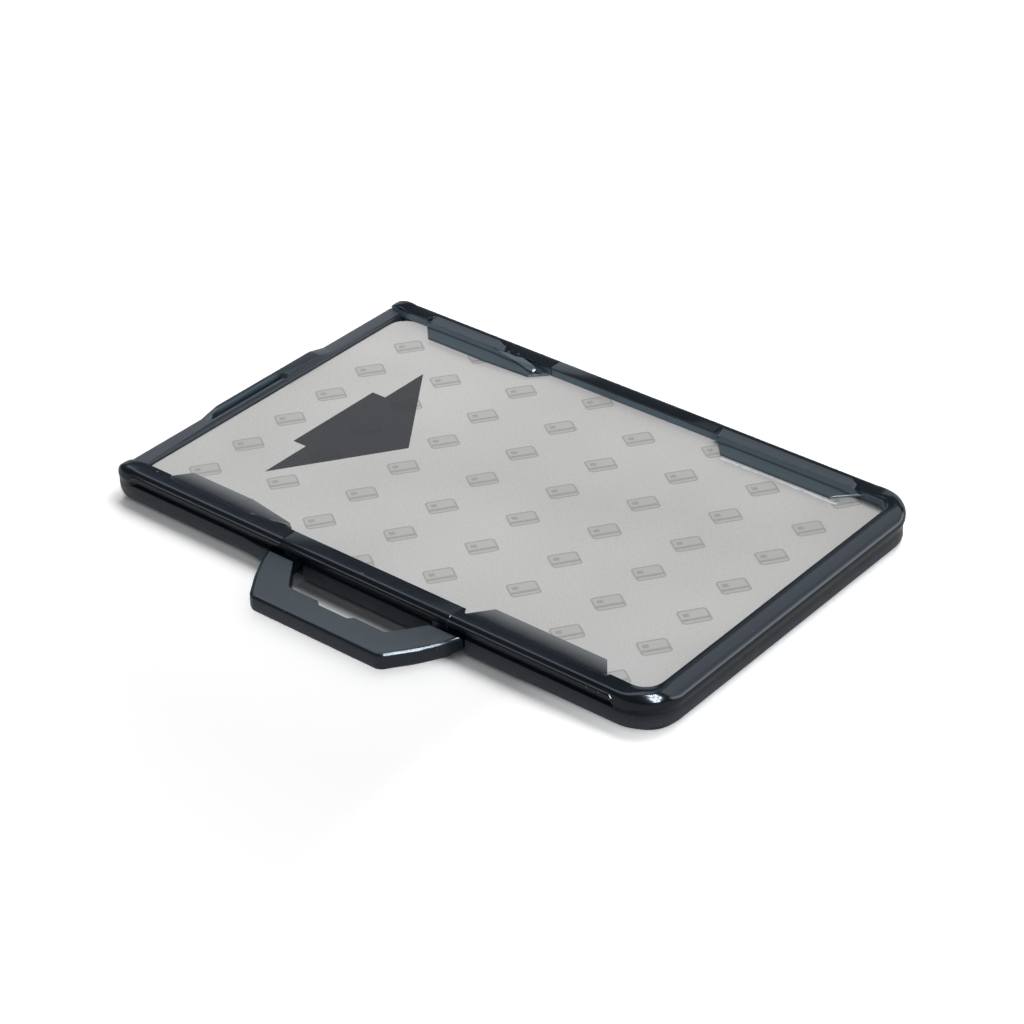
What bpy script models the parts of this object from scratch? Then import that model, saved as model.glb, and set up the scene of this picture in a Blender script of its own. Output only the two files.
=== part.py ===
"""Open-faced badge holder for one ID card, with squeeze bars that bow the card up.

Frame: origin at the centre of the back face under the card recess, +X along the card
towards the closed end, +Z up through the open face. All lengths are in metres.
Plan shapes are given as (distance from the insertion end, distance outside the recess).
"""

import math

import bmesh
import bpy
from mathutils import Vector

MM = 0.001

# Card and the recess that it lies in
CARD_LENGTH = 85.6 * MM
CARD_WIDTH = 54.0 * MM
CARD_THICKNESS = 0.76 * MM
CARD_PLAY = 0.35 * MM
RECESS_RADIUS = 3.2 * MM

# Clearances
SEAM = 0.3 * MM  # between pieces that meet face to face
LAYER_GAP = 0.3 * MM  # between layers of the stack

# Stack, from the back face up
PANEL_THICKNESS = 0.9 * MM
SLIDE_THICKNESS = 0.9 * MM
CORE_THICKNESS = 0.3 * MM
SHEET_THICKNESS = 0.3 * MM
SHEET_LAP = 0.4 * MM  # how far the shield layers run under the rails
SHEET_RADIUS = 3.0 * MM

# Bead along the top of the rails
BEAD_HEIGHT = 1.8 * MM
BEAD_WIDTH = 2.8 * MM
BEAD_OUTER_ROUND = 1.3 * MM
BEAD_INNER_ROUND = 0.5 * MM
BEAD_FOOT_ROUND = 0.25 * MM

# Side wall under the bead, measured outwards from the recess edge
WALL_OUTER = 2.5 * MM
WALL_INNER = 0.9 * MM
WALL_FOOT_ROUND = 0.6 * MM
WALL_HEAD_ROUND = 0.3 * MM
VALLEY_OUTER = 2.0 * MM
VALLEY_HEIGHT = 1.0 * MM
WALL_ROOT = 0.4 * MM  # how far the wall runs up into the bead
SKIRT_OUTER = 2.6 * MM  # the valley filled in, at the closed end and the knobs

# Back panel
PANEL_OUTER = 2.0 * MM
PANEL_END_OUTER = 2.4 * MM
PANEL_CORNER = 4.5 * MM
PANEL_ROUND = 0.8 * MM
LEDGE_REACH = 0.8 * MM

# Insertion end
ENTRY_DEPTH = 2.25 * MM  # strap bar, along X
ENTRY_GAP = 0.15 * MM  # each side of the line where the shield layers start
ENTRY_CORNER = 1.9 * MM
KNOB_INNER_ROUND = 0.8 * MM
KNOB_TOP_ROUND = 1.7 * MM
KNOB_SPARE = 0.02 * MM  # past the bead's own faces, which the knob's outline leaves alone
RIM_THICKNESS = 1.1 * MM
RIM_HEIGHT = 2.2 * MM
RIM_CORNER = 2.2 * MM
BAR_OVER_SHEET = 0.65 * MM
HUMP_HEIGHT = 0.7 * MM
HUMP_LENGTH = 24.8 * MM
HUMP_RAMP = 2.1 * MM
HUMP_CREST = 0.8 * MM
SLOT_LENGTH = 14.2 * MM
SLOT_WIDTH = 0.9 * MM
SLOT_OFFSET = -4.7 * MM  # slot centre, from the middle of the bar

# Seams across the rails, measured from the insertion end of the recess
ENTRY_SEAM = 28.35 * MM
CLOSED_SEAM = 56.85 * MM
KNOB_END = 1.0 * MM
SKIRT_BLEND = 1.2 * MM
SKIRT_TURN = math.radians(20)  # how far round the closed corners the valley is filled

# Lips over the card
LIP_REACH = 2.95 * MM
LIP_THICKNESS = 0.6 * MM
LIP_CARD_PLAY = 0.1 * MM
LIP_ROOT = 1.0 * MM
LIP_SET = 0.1 * MM  # where a lead starts, inside the bead
LIP_CORNER = 0.5 * MM
ENTRY_LIP_START = 4.8 * MM
CLOSED_LIP_START = 57.4 * MM
CLOSED_LIP_END = 80.2 * MM
LIP_LEAD = 2.4 * MM
FINGER_START = 17.7 * MM
FINGER_TIP = 25.8 * MM
FINGER_TAIL = 28.0 * MM
FINGER_TIP_REACH = 2.3 * MM
FINGER_DROP = 0.5 * MM

# Hanging loop
LOOP_CENTRE = 42.8 * MM  # from the insertion end of the recess
LOOP_REACH = 12.5 * MM
LOOP_ROOT = 2.9 * MM
LOOP_ROOT_LENGTH = 33.0 * MM
LOOP_SHOULDER_REACH = 7.4 * MM
LOOP_SHOULDER_LENGTH = 29.2 * MM
LOOP_SHOULDER_ROUND = 9.0 * MM
LOOP_END_LENGTH = 21.8 * MM
LOOP_CORNER = 1.8 * MM
LOOP_HOLE_REACH = 8.1 * MM
LOOP_HOLE_ROOT_LENGTH = 24.0 * MM
LOOP_HOLE_END_LENGTH = 16.4 * MM
LOOP_HOLE_CORNER = 1.0 * MM
LOOP_NOTCH_LENGTH = 4.8 * MM
LOOP_NOTCH_SLOPE = 0.7 * MM
LOOP_NOTCH_DEPTH = 0.65 * MM
LOOP_THICKNESS = 2.5 * MM
LOOP_DROP = 0.1 * MM  # below the face sheet
LOOP_ROUND = 0.4 * MM
LOOP_HEEL = 1.4 * MM  # thinner stretch where the arms go in under the bead

# Squeeze mechanism
SQUEEZE_TRAVEL = 1.2 * MM
ARM_CLEARANCE = 0.4 * MM
ARM_INSET = 0.2 * MM
PEG_LENGTH = 2.2 * MM
PEG_DEPTH = 0.6 * MM
PEG_INSET = 0.45 * MM  # from the end of the squeeze bar
PEG_OUTER = 2.5 * MM
MIDDLE_WALL_INNER = 1.2 * MM
MIDDLE_WALL_OUTER = 2.4 * MM
SLIDE_OUTER = 0.9 * MM
SLIDE_REACH = 3.5 * MM
SPRING_THICKNESS = 0.35 * MM
SPRING_HEIGHT = 0.6 * MM
SPRING_LENGTH = 24.0 * MM
SPRING_BOW = 2.05 * MM
STOP_RIB_WIDTH = 1.0 * MM

ARC_STEPS = 5
SPRING_STEPS = 12
CUT_MARGIN = 1.0 * MM

# Derived places
RECESS_LENGTH = CARD_LENGTH + 2 * CARD_PLAY
RECESS_WIDTH = CARD_WIDTH + 2 * CARD_PLAY
SLIDE_Z = PANEL_THICKNESS + LAYER_GAP
SLIDE_TOP = SLIDE_Z + SLIDE_THICKNESS
CORE_Z = SLIDE_TOP + LAYER_GAP
SHEET_Z = CORE_Z + CORE_THICKNESS + LAYER_GAP
SHEET_TOP = SHEET_Z + SHEET_THICKNESS
BEAD_Z = SHEET_TOP + LAYER_GAP
BEAD_TOP = BEAD_Z + BEAD_HEIGHT
VALLEY_Z = BEAD_Z - VALLEY_HEIGHT
WALL_Z = PANEL_THICKNESS + LAYER_GAP
WALL_TOP = VALLEY_Z - SEAM / 2
LIP_Z = SHEET_TOP + CARD_THICKNESS + LIP_CARD_PLAY
BAR_TOP = SHEET_TOP + BAR_OVER_SHEET
ENTRY_END = -(ENTRY_GAP + ENTRY_DEPTH)
BAR_START = ENTRY_SEAM + SEAM / 2
BAR_END = CLOSED_SEAM - SEAM / 2
LOOP_TOP = SHEET_TOP - LOOP_DROP
LOOP_Z = LOOP_TOP - LOOP_THICKNESS
ARM_START = LOOP_CENTRE - LOOP_ROOT_LENGTH / 2
ARM_END = LOOP_CENTRE + LOOP_ROOT_LENGTH / 2
PEG_START = BAR_START + PEG_INSET
PEG_END = BAR_END - PEG_INSET
SLIDE_START = ARM_START + ARM_INSET
SLIDE_END = ARM_END - ARM_INSET
HOLE_SPLAY = (LOOP_HOLE_ROOT_LENGTH - LOOP_HOLE_END_LENGTH) / 2
MIDDLE_WALL_HALF = LOOP_HOLE_ROOT_LENGTH / 2 - SQUEEZE_TRAVEL
SPRING_HEAD = SLIDE_REACH + SEAM
STOP_RIB_AT = SPRING_HEAD + SPRING_THICKNESS + SPRING_BOW + SEAM

NEAR = -1
FAR = 1


def place(distance, side, outside):
    """Plan point from its distance along the recess and its distance outside it."""
    return (distance - RECESS_LENGTH / 2, side * (RECESS_WIDTH / 2 + outside))


def plan(side, corners):
    """Plan outline of (distance, outside) or (distance, outside, radius) corners."""
    return [(*place(corner[0], side, corner[1]), *corner[2:]) for corner in corners]


def remove_old_objects():
    """Empty the scene."""
    for old in list(bpy.data.objects):
        bpy.data.objects.remove(old, do_unlink=True)


def make_material(name, colour, roughness, metallic=0.0):
    """Principled material with plain values."""
    material = bpy.data.materials.new(name)
    material.use_nodes = True
    shader = material.node_tree.nodes["Principled BSDF"]
    shader.inputs["Base Color"].default_value = (*colour, 1.0)
    shader.inputs["Roughness"].default_value = roughness
    shader.inputs["Metallic"].default_value = metallic
    material.diffuse_color = (*colour, 1.0)
    return material


def rounded(corners, steps=ARC_STEPS):
    """Closed outline whose (u, v, radius) corners are replaced by arcs."""
    points = []
    for index, corner in enumerate(corners):
        here = Vector(corner[:2])
        radius = corner[2] if len(corner) > 2 else 0.0
        if radius <= 0.0:
            points.append(tuple(here))
            continue
        back = (Vector(corners[index - 1][:2]) - here).normalized()
        ahead = (Vector(corners[(index + 1) % len(corners)][:2]) - here).normalized()
        half = back.angle(ahead) / 2
        centre = here + (back + ahead).normalized() * (radius / math.sin(half))
        start = here + back * (radius / math.tan(half)) - centre
        turn = math.copysign(math.pi - 2 * half, back.cross(start))
        for step in range(steps + 1):
            angle = turn * step / steps
            spun_u = start.x * math.cos(angle) - start.y * math.sin(angle)
            spun_v = start.x * math.sin(angle) + start.y * math.cos(angle)
            points.append((centre.x + spun_u, centre.y + spun_v))
    return points


def prism(outline, low, high):
    """Closed mesh of a plan outline raised from one height to another."""
    mesh = bmesh.new()
    base = mesh.faces.new([mesh.verts.new((x, y, low)) for x, y in outline])
    grown = bmesh.ops.extrude_face_region(mesh, geom=[base])
    top = [item for item in grown["geom"] if isinstance(item, bmesh.types.BMVert)]
    bmesh.ops.translate(mesh, verts=top, vec=(0, 0, high - low))
    bmesh.ops.recalc_face_normals(mesh, faces=mesh.faces[:])
    return mesh


def block(side, start, end, inner, outer, low, high):
    """Closed box between two distances along and two distances outside the recess."""
    corners = [(start, inner), (end, inner), (end, outer), (start, outer)]
    return prism(plan(side, corners), low, high)


def sweep(stations):
    """Closed mesh of sections carried along stations of (point, outward, section)."""
    mesh = bmesh.new()
    rings = [
        [mesh.verts.new((x + out_x * u, y + out_y * u, v)) for u, v in section]
        for (x, y), (out_x, out_y), section in stations
    ]
    for ring, following in zip(rings, rings[1:]):
        for index, corner in enumerate(ring):
            mesh.faces.new((ring[index - 1], corner, following[index], following[index - 1]))
    for ring in (rings[0], rings[-1]):
        mesh.faces.new(ring)
    bmesh.ops.recalc_face_normals(mesh, faces=mesh.faces[:])
    return mesh


def soften(mesh, heights, radius, segments=2):
    """Round the edges that lie at the given heights."""
    chosen = [
        edge for edge in mesh.edges
        if any(all(abs(end.co.z - height) < 0.001 * MM for end in edge.verts) for height in heights)
    ]
    bmesh.ops.bevel(
        mesh, geom=chosen, offset=radius, segments=segments, profile=0.5, affect="EDGES",
        clamp_overlap=True,
    )
    return mesh


def make_object(name, mesh, material=None):
    """Object from a finished mesh, shaded smooth on its round faces."""
    data = bpy.data.meshes.new(name)
    mesh.to_mesh(data)
    mesh.free()
    piece = bpy.data.objects.new(name, data)
    bpy.context.scene.collection.objects.link(piece)
    data.shade_smooth()
    data.set_sharp_from_angle(angle=math.radians(35))
    if material is not None:
        data.materials.append(material)
    return piece


def combine(piece, operation, label, mesh):
    """Join a mesh to a piece, cut it away or keep what it covers."""
    tool = make_object(f"{piece.name}_{label}", mesh)
    tool.hide_render = True
    tool.display_type = "WIRE"
    modifier = piece.modifiers.new(label, "BOOLEAN")
    modifier.operation = operation
    modifier.solver = "EXACT"
    modifier.object = tool


def bead_section():
    """Section of the bead alone, as (outside, height)."""
    return rounded([
        (0.0, BEAD_Z),
        (0.0, BEAD_TOP, BEAD_INNER_ROUND),
        (BEAD_WIDTH, BEAD_TOP, BEAD_OUTER_ROUND),
        (BEAD_WIDTH, BEAD_Z, BEAD_FOOT_ROUND),
    ])


def wall_section(valley_outer):
    """Section of the side wall, with the valley between it and the bead."""
    return rounded([
        (WALL_INNER, WALL_Z),
        (WALL_INNER, BEAD_Z + WALL_ROOT),
        (valley_outer, BEAD_Z + WALL_ROOT),
        (valley_outer, VALLEY_Z + WALL_HEAD_ROUND),
        (WALL_OUTER, VALLEY_Z, WALL_HEAD_ROUND),
        (WALL_OUTER, WALL_Z, WALL_FOOT_ROUND),
    ])


def straight_stations(side, sections):
    """Stations along one long edge, from (distance, section) pairs."""
    return [(place(distance, side, 0.0), (0, side), section) for distance, section in sections]


def corner_stations(side, first, rest):
    """Stations round one closed corner of the recess, from the long edge to the end."""
    centre = place(RECESS_LENGTH - RECESS_RADIUS, side, -RECESS_RADIUS)
    stations = []
    for step in range(2 * ARC_STEPS + 1):
        angle = math.pi / 2 * step / (2 * ARC_STEPS)
        outward = (math.sin(angle), side * math.cos(angle))
        point = (centre[0] + RECESS_RADIUS * outward[0], centre[1] + RECESS_RADIUS * outward[1])
        stations.append((point, outward, first if angle < SKIRT_TURN else rest))
    return stations


def closed_end_stations(start, first, rest):
    """Stations from one long edge, round the closed end and back along the other."""
    near, far = (
        straight_stations(side, [(start, first)]) + corner_stations(side, first, rest)
        for side in (NEAR, FAR)
    )
    return near + far[::-1]


def closed_end_ring(outside_inner, outside_outer, start):
    """Plan outline of a U round the closed end."""
    outline = []
    for outside, sides in ((outside_outer, (NEAR, FAR)), (outside_inner, (FAR, NEAR))):
        radius = RECESS_RADIUS + outside
        corners = [
            (*place(start, sides[0], outside), 0.0),
            (*place(RECESS_LENGTH + outside, sides[0], outside), radius),
            (*place(RECESS_LENGTH + outside, sides[1], outside), radius),
            (*place(start, sides[1], outside), 0.0),
        ]
        outline += corners
    return rounded(outline)


def round_plate(start, end, outside, start_radius, end_radius, low, high):
    """Plate with round corners, between two distances along the recess."""
    corners = (
        plan(NEAR, [(start, outside, start_radius), (end, outside, end_radius)])
        + plan(FAR, [(end, outside, end_radius), (start, outside, start_radius)])
    )
    return prism(rounded(corners), low, high)


def lip(side, start, end, lead_at_end):
    """Lip over the card, with a slanted lead at one or both ends."""
    corners = [
        (start, LIP_ROOT),
        (start, LIP_SET),
        (start + LIP_LEAD, -LIP_REACH, LIP_CORNER),
    ]
    if lead_at_end:
        corners += [(end - LIP_LEAD, -LIP_REACH, LIP_CORNER), (end, LIP_SET)]
    else:
        corners += [(end, -LIP_REACH)]
    corners += [(end, LIP_ROOT)]
    return prism(rounded(plan(side, corners)), LIP_Z, LIP_Z + LIP_THICKNESS)


def strap_bar_mesh():
    """Strap bar across the insertion end, with its raised middle."""
    middle = RECESS_WIDTH / 2
    crest = BAR_TOP + HUMP_HEIGHT
    rises = [
        (middle - SEAM, BAR_TOP),
        (HUMP_LENGTH / 2, BAR_TOP),
        (HUMP_LENGTH / 2 - HUMP_RAMP, crest),
    ]
    stations = []
    for from_middle, top in rises + [(-reach, top) for reach, top in reversed(rises)]:
        section = [
            (ENTRY_END, PANEL_THICKNESS / 2),
            (ENTRY_END, top),
            (ENTRY_END + HUMP_CREST, top),
            (-ENTRY_GAP, BAR_TOP),
            (-ENTRY_GAP, PANEL_THICKNESS / 2),
        ]
        stations.append((place(0.0, NEAR, from_middle - middle), (1, 0), section))
    return sweep(stations)


def make_rear_shell(plastic):
    """Back panel with its end rim, strap bar, ledges, middle walls and stop ribs."""
    end = RECESS_LENGTH + PANEL_END_OUTER
    tray = round_plate(
        ENTRY_END, end, PANEL_OUTER, RIM_CORNER, PANEL_CORNER, 0.0, RIM_HEIGHT,
    )
    shell = make_object("rear_shell", soften(tray, [0.0], PANEL_ROUND, 3), plastic)
    beyond = PANEL_OUTER + CUT_MARGIN
    inside = block(
        NEAR, ENTRY_END + RIM_THICKNESS, end + CUT_MARGIN, -RECESS_WIDTH - beyond, beyond,
        PANEL_THICKNESS, BEAD_TOP,
    )
    combine(shell, "DIFFERENCE", "inside", inside)
    combine(shell, "UNION", "strap_bar", strap_bar_mesh())
    slot_start = ENTRY_END + HUMP_CREST
    slot_outside = SLOT_LENGTH / 2 - SLOT_OFFSET - RECESS_WIDTH / 2
    slot = block(
        NEAR, slot_start, slot_start + SLOT_WIDTH, slot_outside - SLOT_LENGTH, slot_outside,
        -CUT_MARGIN, BEAD_TOP,
    )
    combine(shell, "DIFFERENCE", "strap_slot", slot)

    root = PANEL_THICKNESS / 2
    ledge_outer = WALL_INNER - SEAM
    ring = closed_end_ring(-LEDGE_REACH, ledge_outer, SLIDE_END + SEAM)
    combine(shell, "UNION", "closed_ledge", prism(ring, root, SLIDE_TOP))
    wall_start = LOOP_CENTRE - MIDDLE_WALL_HALF
    wall_end = LOOP_CENTRE + MIDDLE_WALL_HALF
    for side, word in ((NEAR, "near"), (FAR, "far")):
        ledge = block(
            side, ENTRY_GAP, SLIDE_START - SEAM, -LEDGE_REACH, ledge_outer, root, SLIDE_TOP,
        )
        combine(shell, "UNION", f"{word}_ledge", ledge)
        wall = block(
            side, wall_start, wall_end, MIDDLE_WALL_INNER, MIDDLE_WALL_OUTER, root, WALL_TOP,
        )
        combine(shell, "UNION", f"{word}_wall", wall)
        rib = block(
            side, SLIDE_START, SLIDE_END, -STOP_RIB_AT - STOP_RIB_WIDTH, -STOP_RIB_AT,
            root, SLIDE_TOP,
        )
        combine(shell, "UNION", f"{word}_stop_rib", rib)
    return shell


def make_entry_rail(name, side, plastic):
    """Rail from the insertion end to its seam, with a round knob and the entry lip."""
    end = ENTRY_SEAM - SEAM / 2
    before = ENTRY_END - CUT_MARGIN
    bead = straight_stations(side, [(before, bead_section()), (end, bead_section())])
    rail = make_object(name, sweep(bead), plastic)
    wall = straight_stations(side, [
        (before, wall_section(SKIRT_OUTER)),
        (KNOB_END, wall_section(SKIRT_OUTER)),
        (KNOB_END + SKIRT_BLEND, wall_section(VALLEY_OUTER)),
        (ARM_START - ARM_CLEARANCE, wall_section(VALLEY_OUTER)),
    ])
    combine(rail, "UNION", "wall", sweep(wall))
    knob = plan(side, [
        (ENTRY_END, BEAD_WIDTH + KNOB_SPARE, ENTRY_CORNER),
        (end + CUT_MARGIN, BEAD_WIDTH + KNOB_SPARE),
        (end + CUT_MARGIN, -KNOB_SPARE),
        (ENTRY_END, -KNOB_SPARE, KNOB_INNER_ROUND),
    ])
    combine(rail, "INTERSECT", "knob", prism(rounded(knob), 0.0, BEAD_TOP + CUT_MARGIN))
    profile = rounded([
        (ENTRY_END - KNOB_SPARE, 0.0),
        (ENTRY_END - KNOB_SPARE, BEAD_TOP + KNOB_SPARE, KNOB_TOP_ROUND),
        (end + CUT_MARGIN, BEAD_TOP + KNOB_SPARE),
        (end + CUT_MARGIN, 0.0),
    ])
    dome = [
        (place(0.0, side, outside), (1, 0), profile)
        for outside in (-CUT_MARGIN, BEAD_WIDTH + CUT_MARGIN)
    ]
    combine(rail, "INTERSECT", "dome", sweep(dome))
    combine(rail, "UNION", "lip", lip(side, ENTRY_LIP_START, FINGER_START, False))
    rim_space = block(
        side, before, ENTRY_END + RIM_THICKNESS + SEAM, -CUT_MARGIN, WALL_OUTER + CUT_MARGIN,
        0.0, RIM_HEIGHT + SEAM,
    )
    combine(rail, "DIFFERENCE", "rim_space", rim_space)
    return rail


def make_front_frame(plastic):
    """Bead and wall round the closed end, back to the seams, with the two closed lips."""
    start = CLOSED_SEAM + SEAM / 2
    bead = closed_end_stations(start, bead_section(), bead_section())
    frame = make_object("front_frame", sweep(bead), plastic)
    wall = closed_end_stations(
        ARM_END + ARM_CLEARANCE, wall_section(VALLEY_OUTER), wall_section(SKIRT_OUTER),
    )
    combine(frame, "UNION", "wall", sweep(wall))
    for side, word in ((NEAR, "near"), (FAR, "far")):
        closed_lip = lip(side, CLOSED_LIP_START, CLOSED_LIP_END, True)
        combine(frame, "UNION", f"{word}_lip", closed_lip)
    return frame


def make_squeeze_bar(name, side, plastic):
    """Middle stretch of a rail, which is pressed inwards."""
    bead = straight_stations(side, [(BAR_START, bead_section()), (BAR_END, bead_section())])
    return make_object(name, sweep(bead), plastic)


def slide_plate_mesh(side, arm_reach):
    """Plate under the shield with an arm to each end of the squeeze bar."""
    corners = [
        (SLIDE_START, arm_reach),
        (PEG_START + PEG_LENGTH, arm_reach),
        (PEG_START + PEG_LENGTH, SLIDE_OUTER),
        (PEG_END - PEG_LENGTH, SLIDE_OUTER),
        (PEG_END - PEG_LENGTH, arm_reach),
        (SLIDE_END, arm_reach),
        (SLIDE_END, -SLIDE_REACH),
        (SLIDE_START, -SLIDE_REACH),
    ]
    return prism(plan(side, corners), SLIDE_Z, SLIDE_TOP)


def add_pegs(piece, side):
    """Two pegs that carry the squeeze bar."""
    inner = PEG_OUTER - PEG_DEPTH
    for start, word in ((PEG_START, "entry"), (PEG_END - PEG_LENGTH, "closed")):
        peg = block(
            side, start, start + PEG_LENGTH, inner, PEG_OUTER, SLIDE_TOP - LAYER_GAP, BEAD_Z - SEAM,
        )
        combine(piece, "UNION", f"{word}_peg", peg)


def make_side_loop(plastic):
    """Hanging loop with its arms, slide plate and pegs."""
    shoulder, end = LOOP_SHOULDER_LENGTH / 2, LOOP_END_LENGTH / 2
    outline = plan(NEAR, [
        (ARM_START, LOOP_ROOT),
        (LOOP_CENTRE - shoulder, LOOP_SHOULDER_REACH, LOOP_SHOULDER_ROUND),
        (LOOP_CENTRE - end, LOOP_REACH, LOOP_CORNER),
        (LOOP_CENTRE + end, LOOP_REACH, LOOP_CORNER),
        (LOOP_CENTRE + shoulder, LOOP_SHOULDER_REACH, LOOP_SHOULDER_ROUND),
        (ARM_END, LOOP_ROOT),
    ])
    handle = soften(prism(rounded(outline), LOOP_Z, LOOP_TOP), [LOOP_Z, LOOP_TOP], LOOP_ROUND)
    loop = make_object("side_loop", handle, plastic)
    splay_per_reach = HOLE_SPLAY / (LOOP_HOLE_REACH - LOOP_ROOT)
    mouth_half = LOOP_HOLE_ROOT_LENGTH / 2 + splay_per_reach * CUT_MARGIN
    notch_half = LOOP_NOTCH_LENGTH / 2
    notch_reach = LOOP_HOLE_REACH + LOOP_NOTCH_DEPTH
    hole = plan(NEAR, [
        (LOOP_CENTRE - mouth_half, LOOP_ROOT - CUT_MARGIN),
        (LOOP_CENTRE - LOOP_HOLE_END_LENGTH / 2, LOOP_HOLE_REACH, LOOP_HOLE_CORNER),
        (LOOP_CENTRE - notch_half - LOOP_NOTCH_SLOPE, LOOP_HOLE_REACH),
        (LOOP_CENTRE - notch_half, notch_reach),
        (LOOP_CENTRE + notch_half, notch_reach),
        (LOOP_CENTRE + notch_half + LOOP_NOTCH_SLOPE, LOOP_HOLE_REACH),
        (LOOP_CENTRE + LOOP_HOLE_END_LENGTH / 2, LOOP_HOLE_REACH, LOOP_HOLE_CORNER),
        (LOOP_CENTRE + mouth_half, LOOP_ROOT - CUT_MARGIN),
    ])
    hole_mesh = prism(rounded(hole), LOOP_Z - CUT_MARGIN, LOOP_TOP + CUT_MARGIN)
    combine(loop, "DIFFERENCE", "hole", hole_mesh)
    heel = block(
        NEAR, ARM_START - CUT_MARGIN, ARM_END + CUT_MARGIN, LOOP_ROOT - CUT_MARGIN,
        LOOP_ROOT + LOOP_HEEL, LOOP_Z - CUT_MARGIN, SLIDE_Z,
    )
    combine(loop, "DIFFERENCE", "heel", heel)
    combine(loop, "UNION", "slide_plate", slide_plate_mesh(NEAR, LOOP_ROOT + LOOP_HEEL / 2))
    add_pegs(loop, NEAR)
    return loop


def make_far_slide_plate(plastic):
    """Plate that carries the far squeeze bar."""
    plate = make_object("far_slide_plate", slide_plate_mesh(FAR, PEG_OUTER), plastic)
    add_pegs(plate, FAR)
    return plate


def make_card_finger(name, side, plastic):
    """Sprung end of the entry lip, sloping down to hold the card."""
    outline = rounded(plan(side, [
        (FINGER_START + SEAM, -SEAM),
        (FINGER_START + SEAM, -LIP_REACH),
        (FINGER_TIP, -FINGER_TIP_REACH, LIP_CORNER),
        (FINGER_TAIL, -SEAM),
    ]))
    mesh = prism(outline, LIP_Z, LIP_Z + LIP_THICKNESS)
    root_x = place(FINGER_START + SEAM, side, 0.0)[0]
    for vertex in mesh.verts:
        vertex.co.z -= FINGER_DROP * (vertex.co.x - root_x) / (FINGER_TIP - FINGER_START - SEAM)
    return make_object(name, mesh, plastic)


def make_shield_layer(name, low, thickness, material):
    """Flat layer that floors the recess."""
    end = RECESS_LENGTH + SHEET_LAP
    mesh = round_plate(
        ENTRY_GAP, end, SHEET_LAP, SHEET_RADIUS, RECESS_RADIUS + SHEET_LAP, low, low + thickness,
    )
    return make_object(name, mesh, material)


def make_return_spring(name, side, steel):
    """Bowed leaf spring between a slide plate and its stop rib."""
    front, back = [], []
    for step in range(SPRING_STEPS + 1):
        share = 2 * step / SPRING_STEPS - 1
        distance = LOOP_CENTRE + share * SPRING_LENGTH / 2
        depth = SPRING_HEAD + SPRING_BOW * share * share
        front.append((distance, -depth))
        back.append((distance, -depth - SPRING_THICKNESS))
    low = SLIDE_Z + (SLIDE_THICKNESS - SPRING_HEIGHT) / 2
    return make_object(name, prism(plan(side, front + back[::-1]), low, low + SPRING_HEIGHT), steel)


def main():
    """Build every piece."""
    remove_old_objects()
    plastic = make_material("glossy_blue_black_plastic", (0.010, 0.015, 0.022), 0.18)
    face = make_material("satin_shield_print", (0.55, 0.54, 0.52), 0.42, 0.6)
    foil = make_material("shield_foil", (0.62, 0.62, 0.63), 0.3, 1.0)
    steel = make_material("spring_steel", (0.5, 0.5, 0.52), 0.3, 1.0)
    make_rear_shell(plastic)
    make_front_frame(plastic)
    make_shield_layer("shield_core", CORE_Z, CORE_THICKNESS, foil)
    make_shield_layer("shield_sheet", SHEET_Z, SHEET_THICKNESS, face)
    make_side_loop(plastic)
    make_far_slide_plate(plastic)
    for side, word in ((NEAR, "near"), (FAR, "far")):
        make_entry_rail(f"{word}_entry_rail", side, plastic)
        make_squeeze_bar(f"{word}_squeeze_bar", side, plastic)
        make_card_finger(f"{word}_card_finger", side, plastic)
        make_return_spring(f"{word}_return_spring", side, steel)


main()
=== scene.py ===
"""Visual model of an open-faced badge holder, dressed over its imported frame.

The holder lies on its back with +X towards its closed end and +Z up through its open face.
Plan places are given as the frame's source gives them: a distance along the card recess
from its insertion end, and a distance outside the recess from its long edges. The classes
that make meshes hold their sizes in millimetres and turn them into metres where a point or
a mesh is made. Finishes, lamps and the camera are in metres.
"""

import logging
import math
from collections.abc import Callable, Iterable, Sequence
from dataclasses import dataclass
from enum import Enum
from functools import cache

import bmesh
import bpy
from mathutils import Matrix, Vector


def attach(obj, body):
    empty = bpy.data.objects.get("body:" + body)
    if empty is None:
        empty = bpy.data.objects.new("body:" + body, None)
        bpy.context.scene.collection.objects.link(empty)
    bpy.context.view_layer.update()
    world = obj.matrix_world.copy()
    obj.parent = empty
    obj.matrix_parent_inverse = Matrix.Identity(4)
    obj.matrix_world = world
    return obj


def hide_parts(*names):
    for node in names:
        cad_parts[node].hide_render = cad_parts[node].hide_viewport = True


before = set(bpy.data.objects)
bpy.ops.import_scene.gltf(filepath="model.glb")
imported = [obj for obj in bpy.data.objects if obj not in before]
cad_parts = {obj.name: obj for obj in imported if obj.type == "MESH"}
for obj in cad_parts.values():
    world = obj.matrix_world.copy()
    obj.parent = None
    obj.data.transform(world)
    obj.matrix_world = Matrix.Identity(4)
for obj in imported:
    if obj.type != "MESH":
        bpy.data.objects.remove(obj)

MM = 0.001
LOG = logging.getLogger("badge_holder")

Corner = tuple[float, float, float]
Colour = tuple[float, float, float]
Place = tuple[float, float, float]


class Side(Enum):
    """A long side of the holder, with the sign of its Y."""

    NEAR = -1
    FAR = 1

    @property
    def word(self) -> str:
        """Name used in piece names."""
        return self.name.lower()

    @property
    def outward(self) -> Vector:
        """Plan direction that points out of this side."""
        return Vector((0.0, self.value, 0.0))


class Slot(Enum):
    """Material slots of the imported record."""

    PLASTIC = "glossy_plastic"
    FACE = "shield_face"
    FOIL = "shield_foil"
    STEEL = "spring_steel"


# ---------------------------------------------------------------- shader maths


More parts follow.
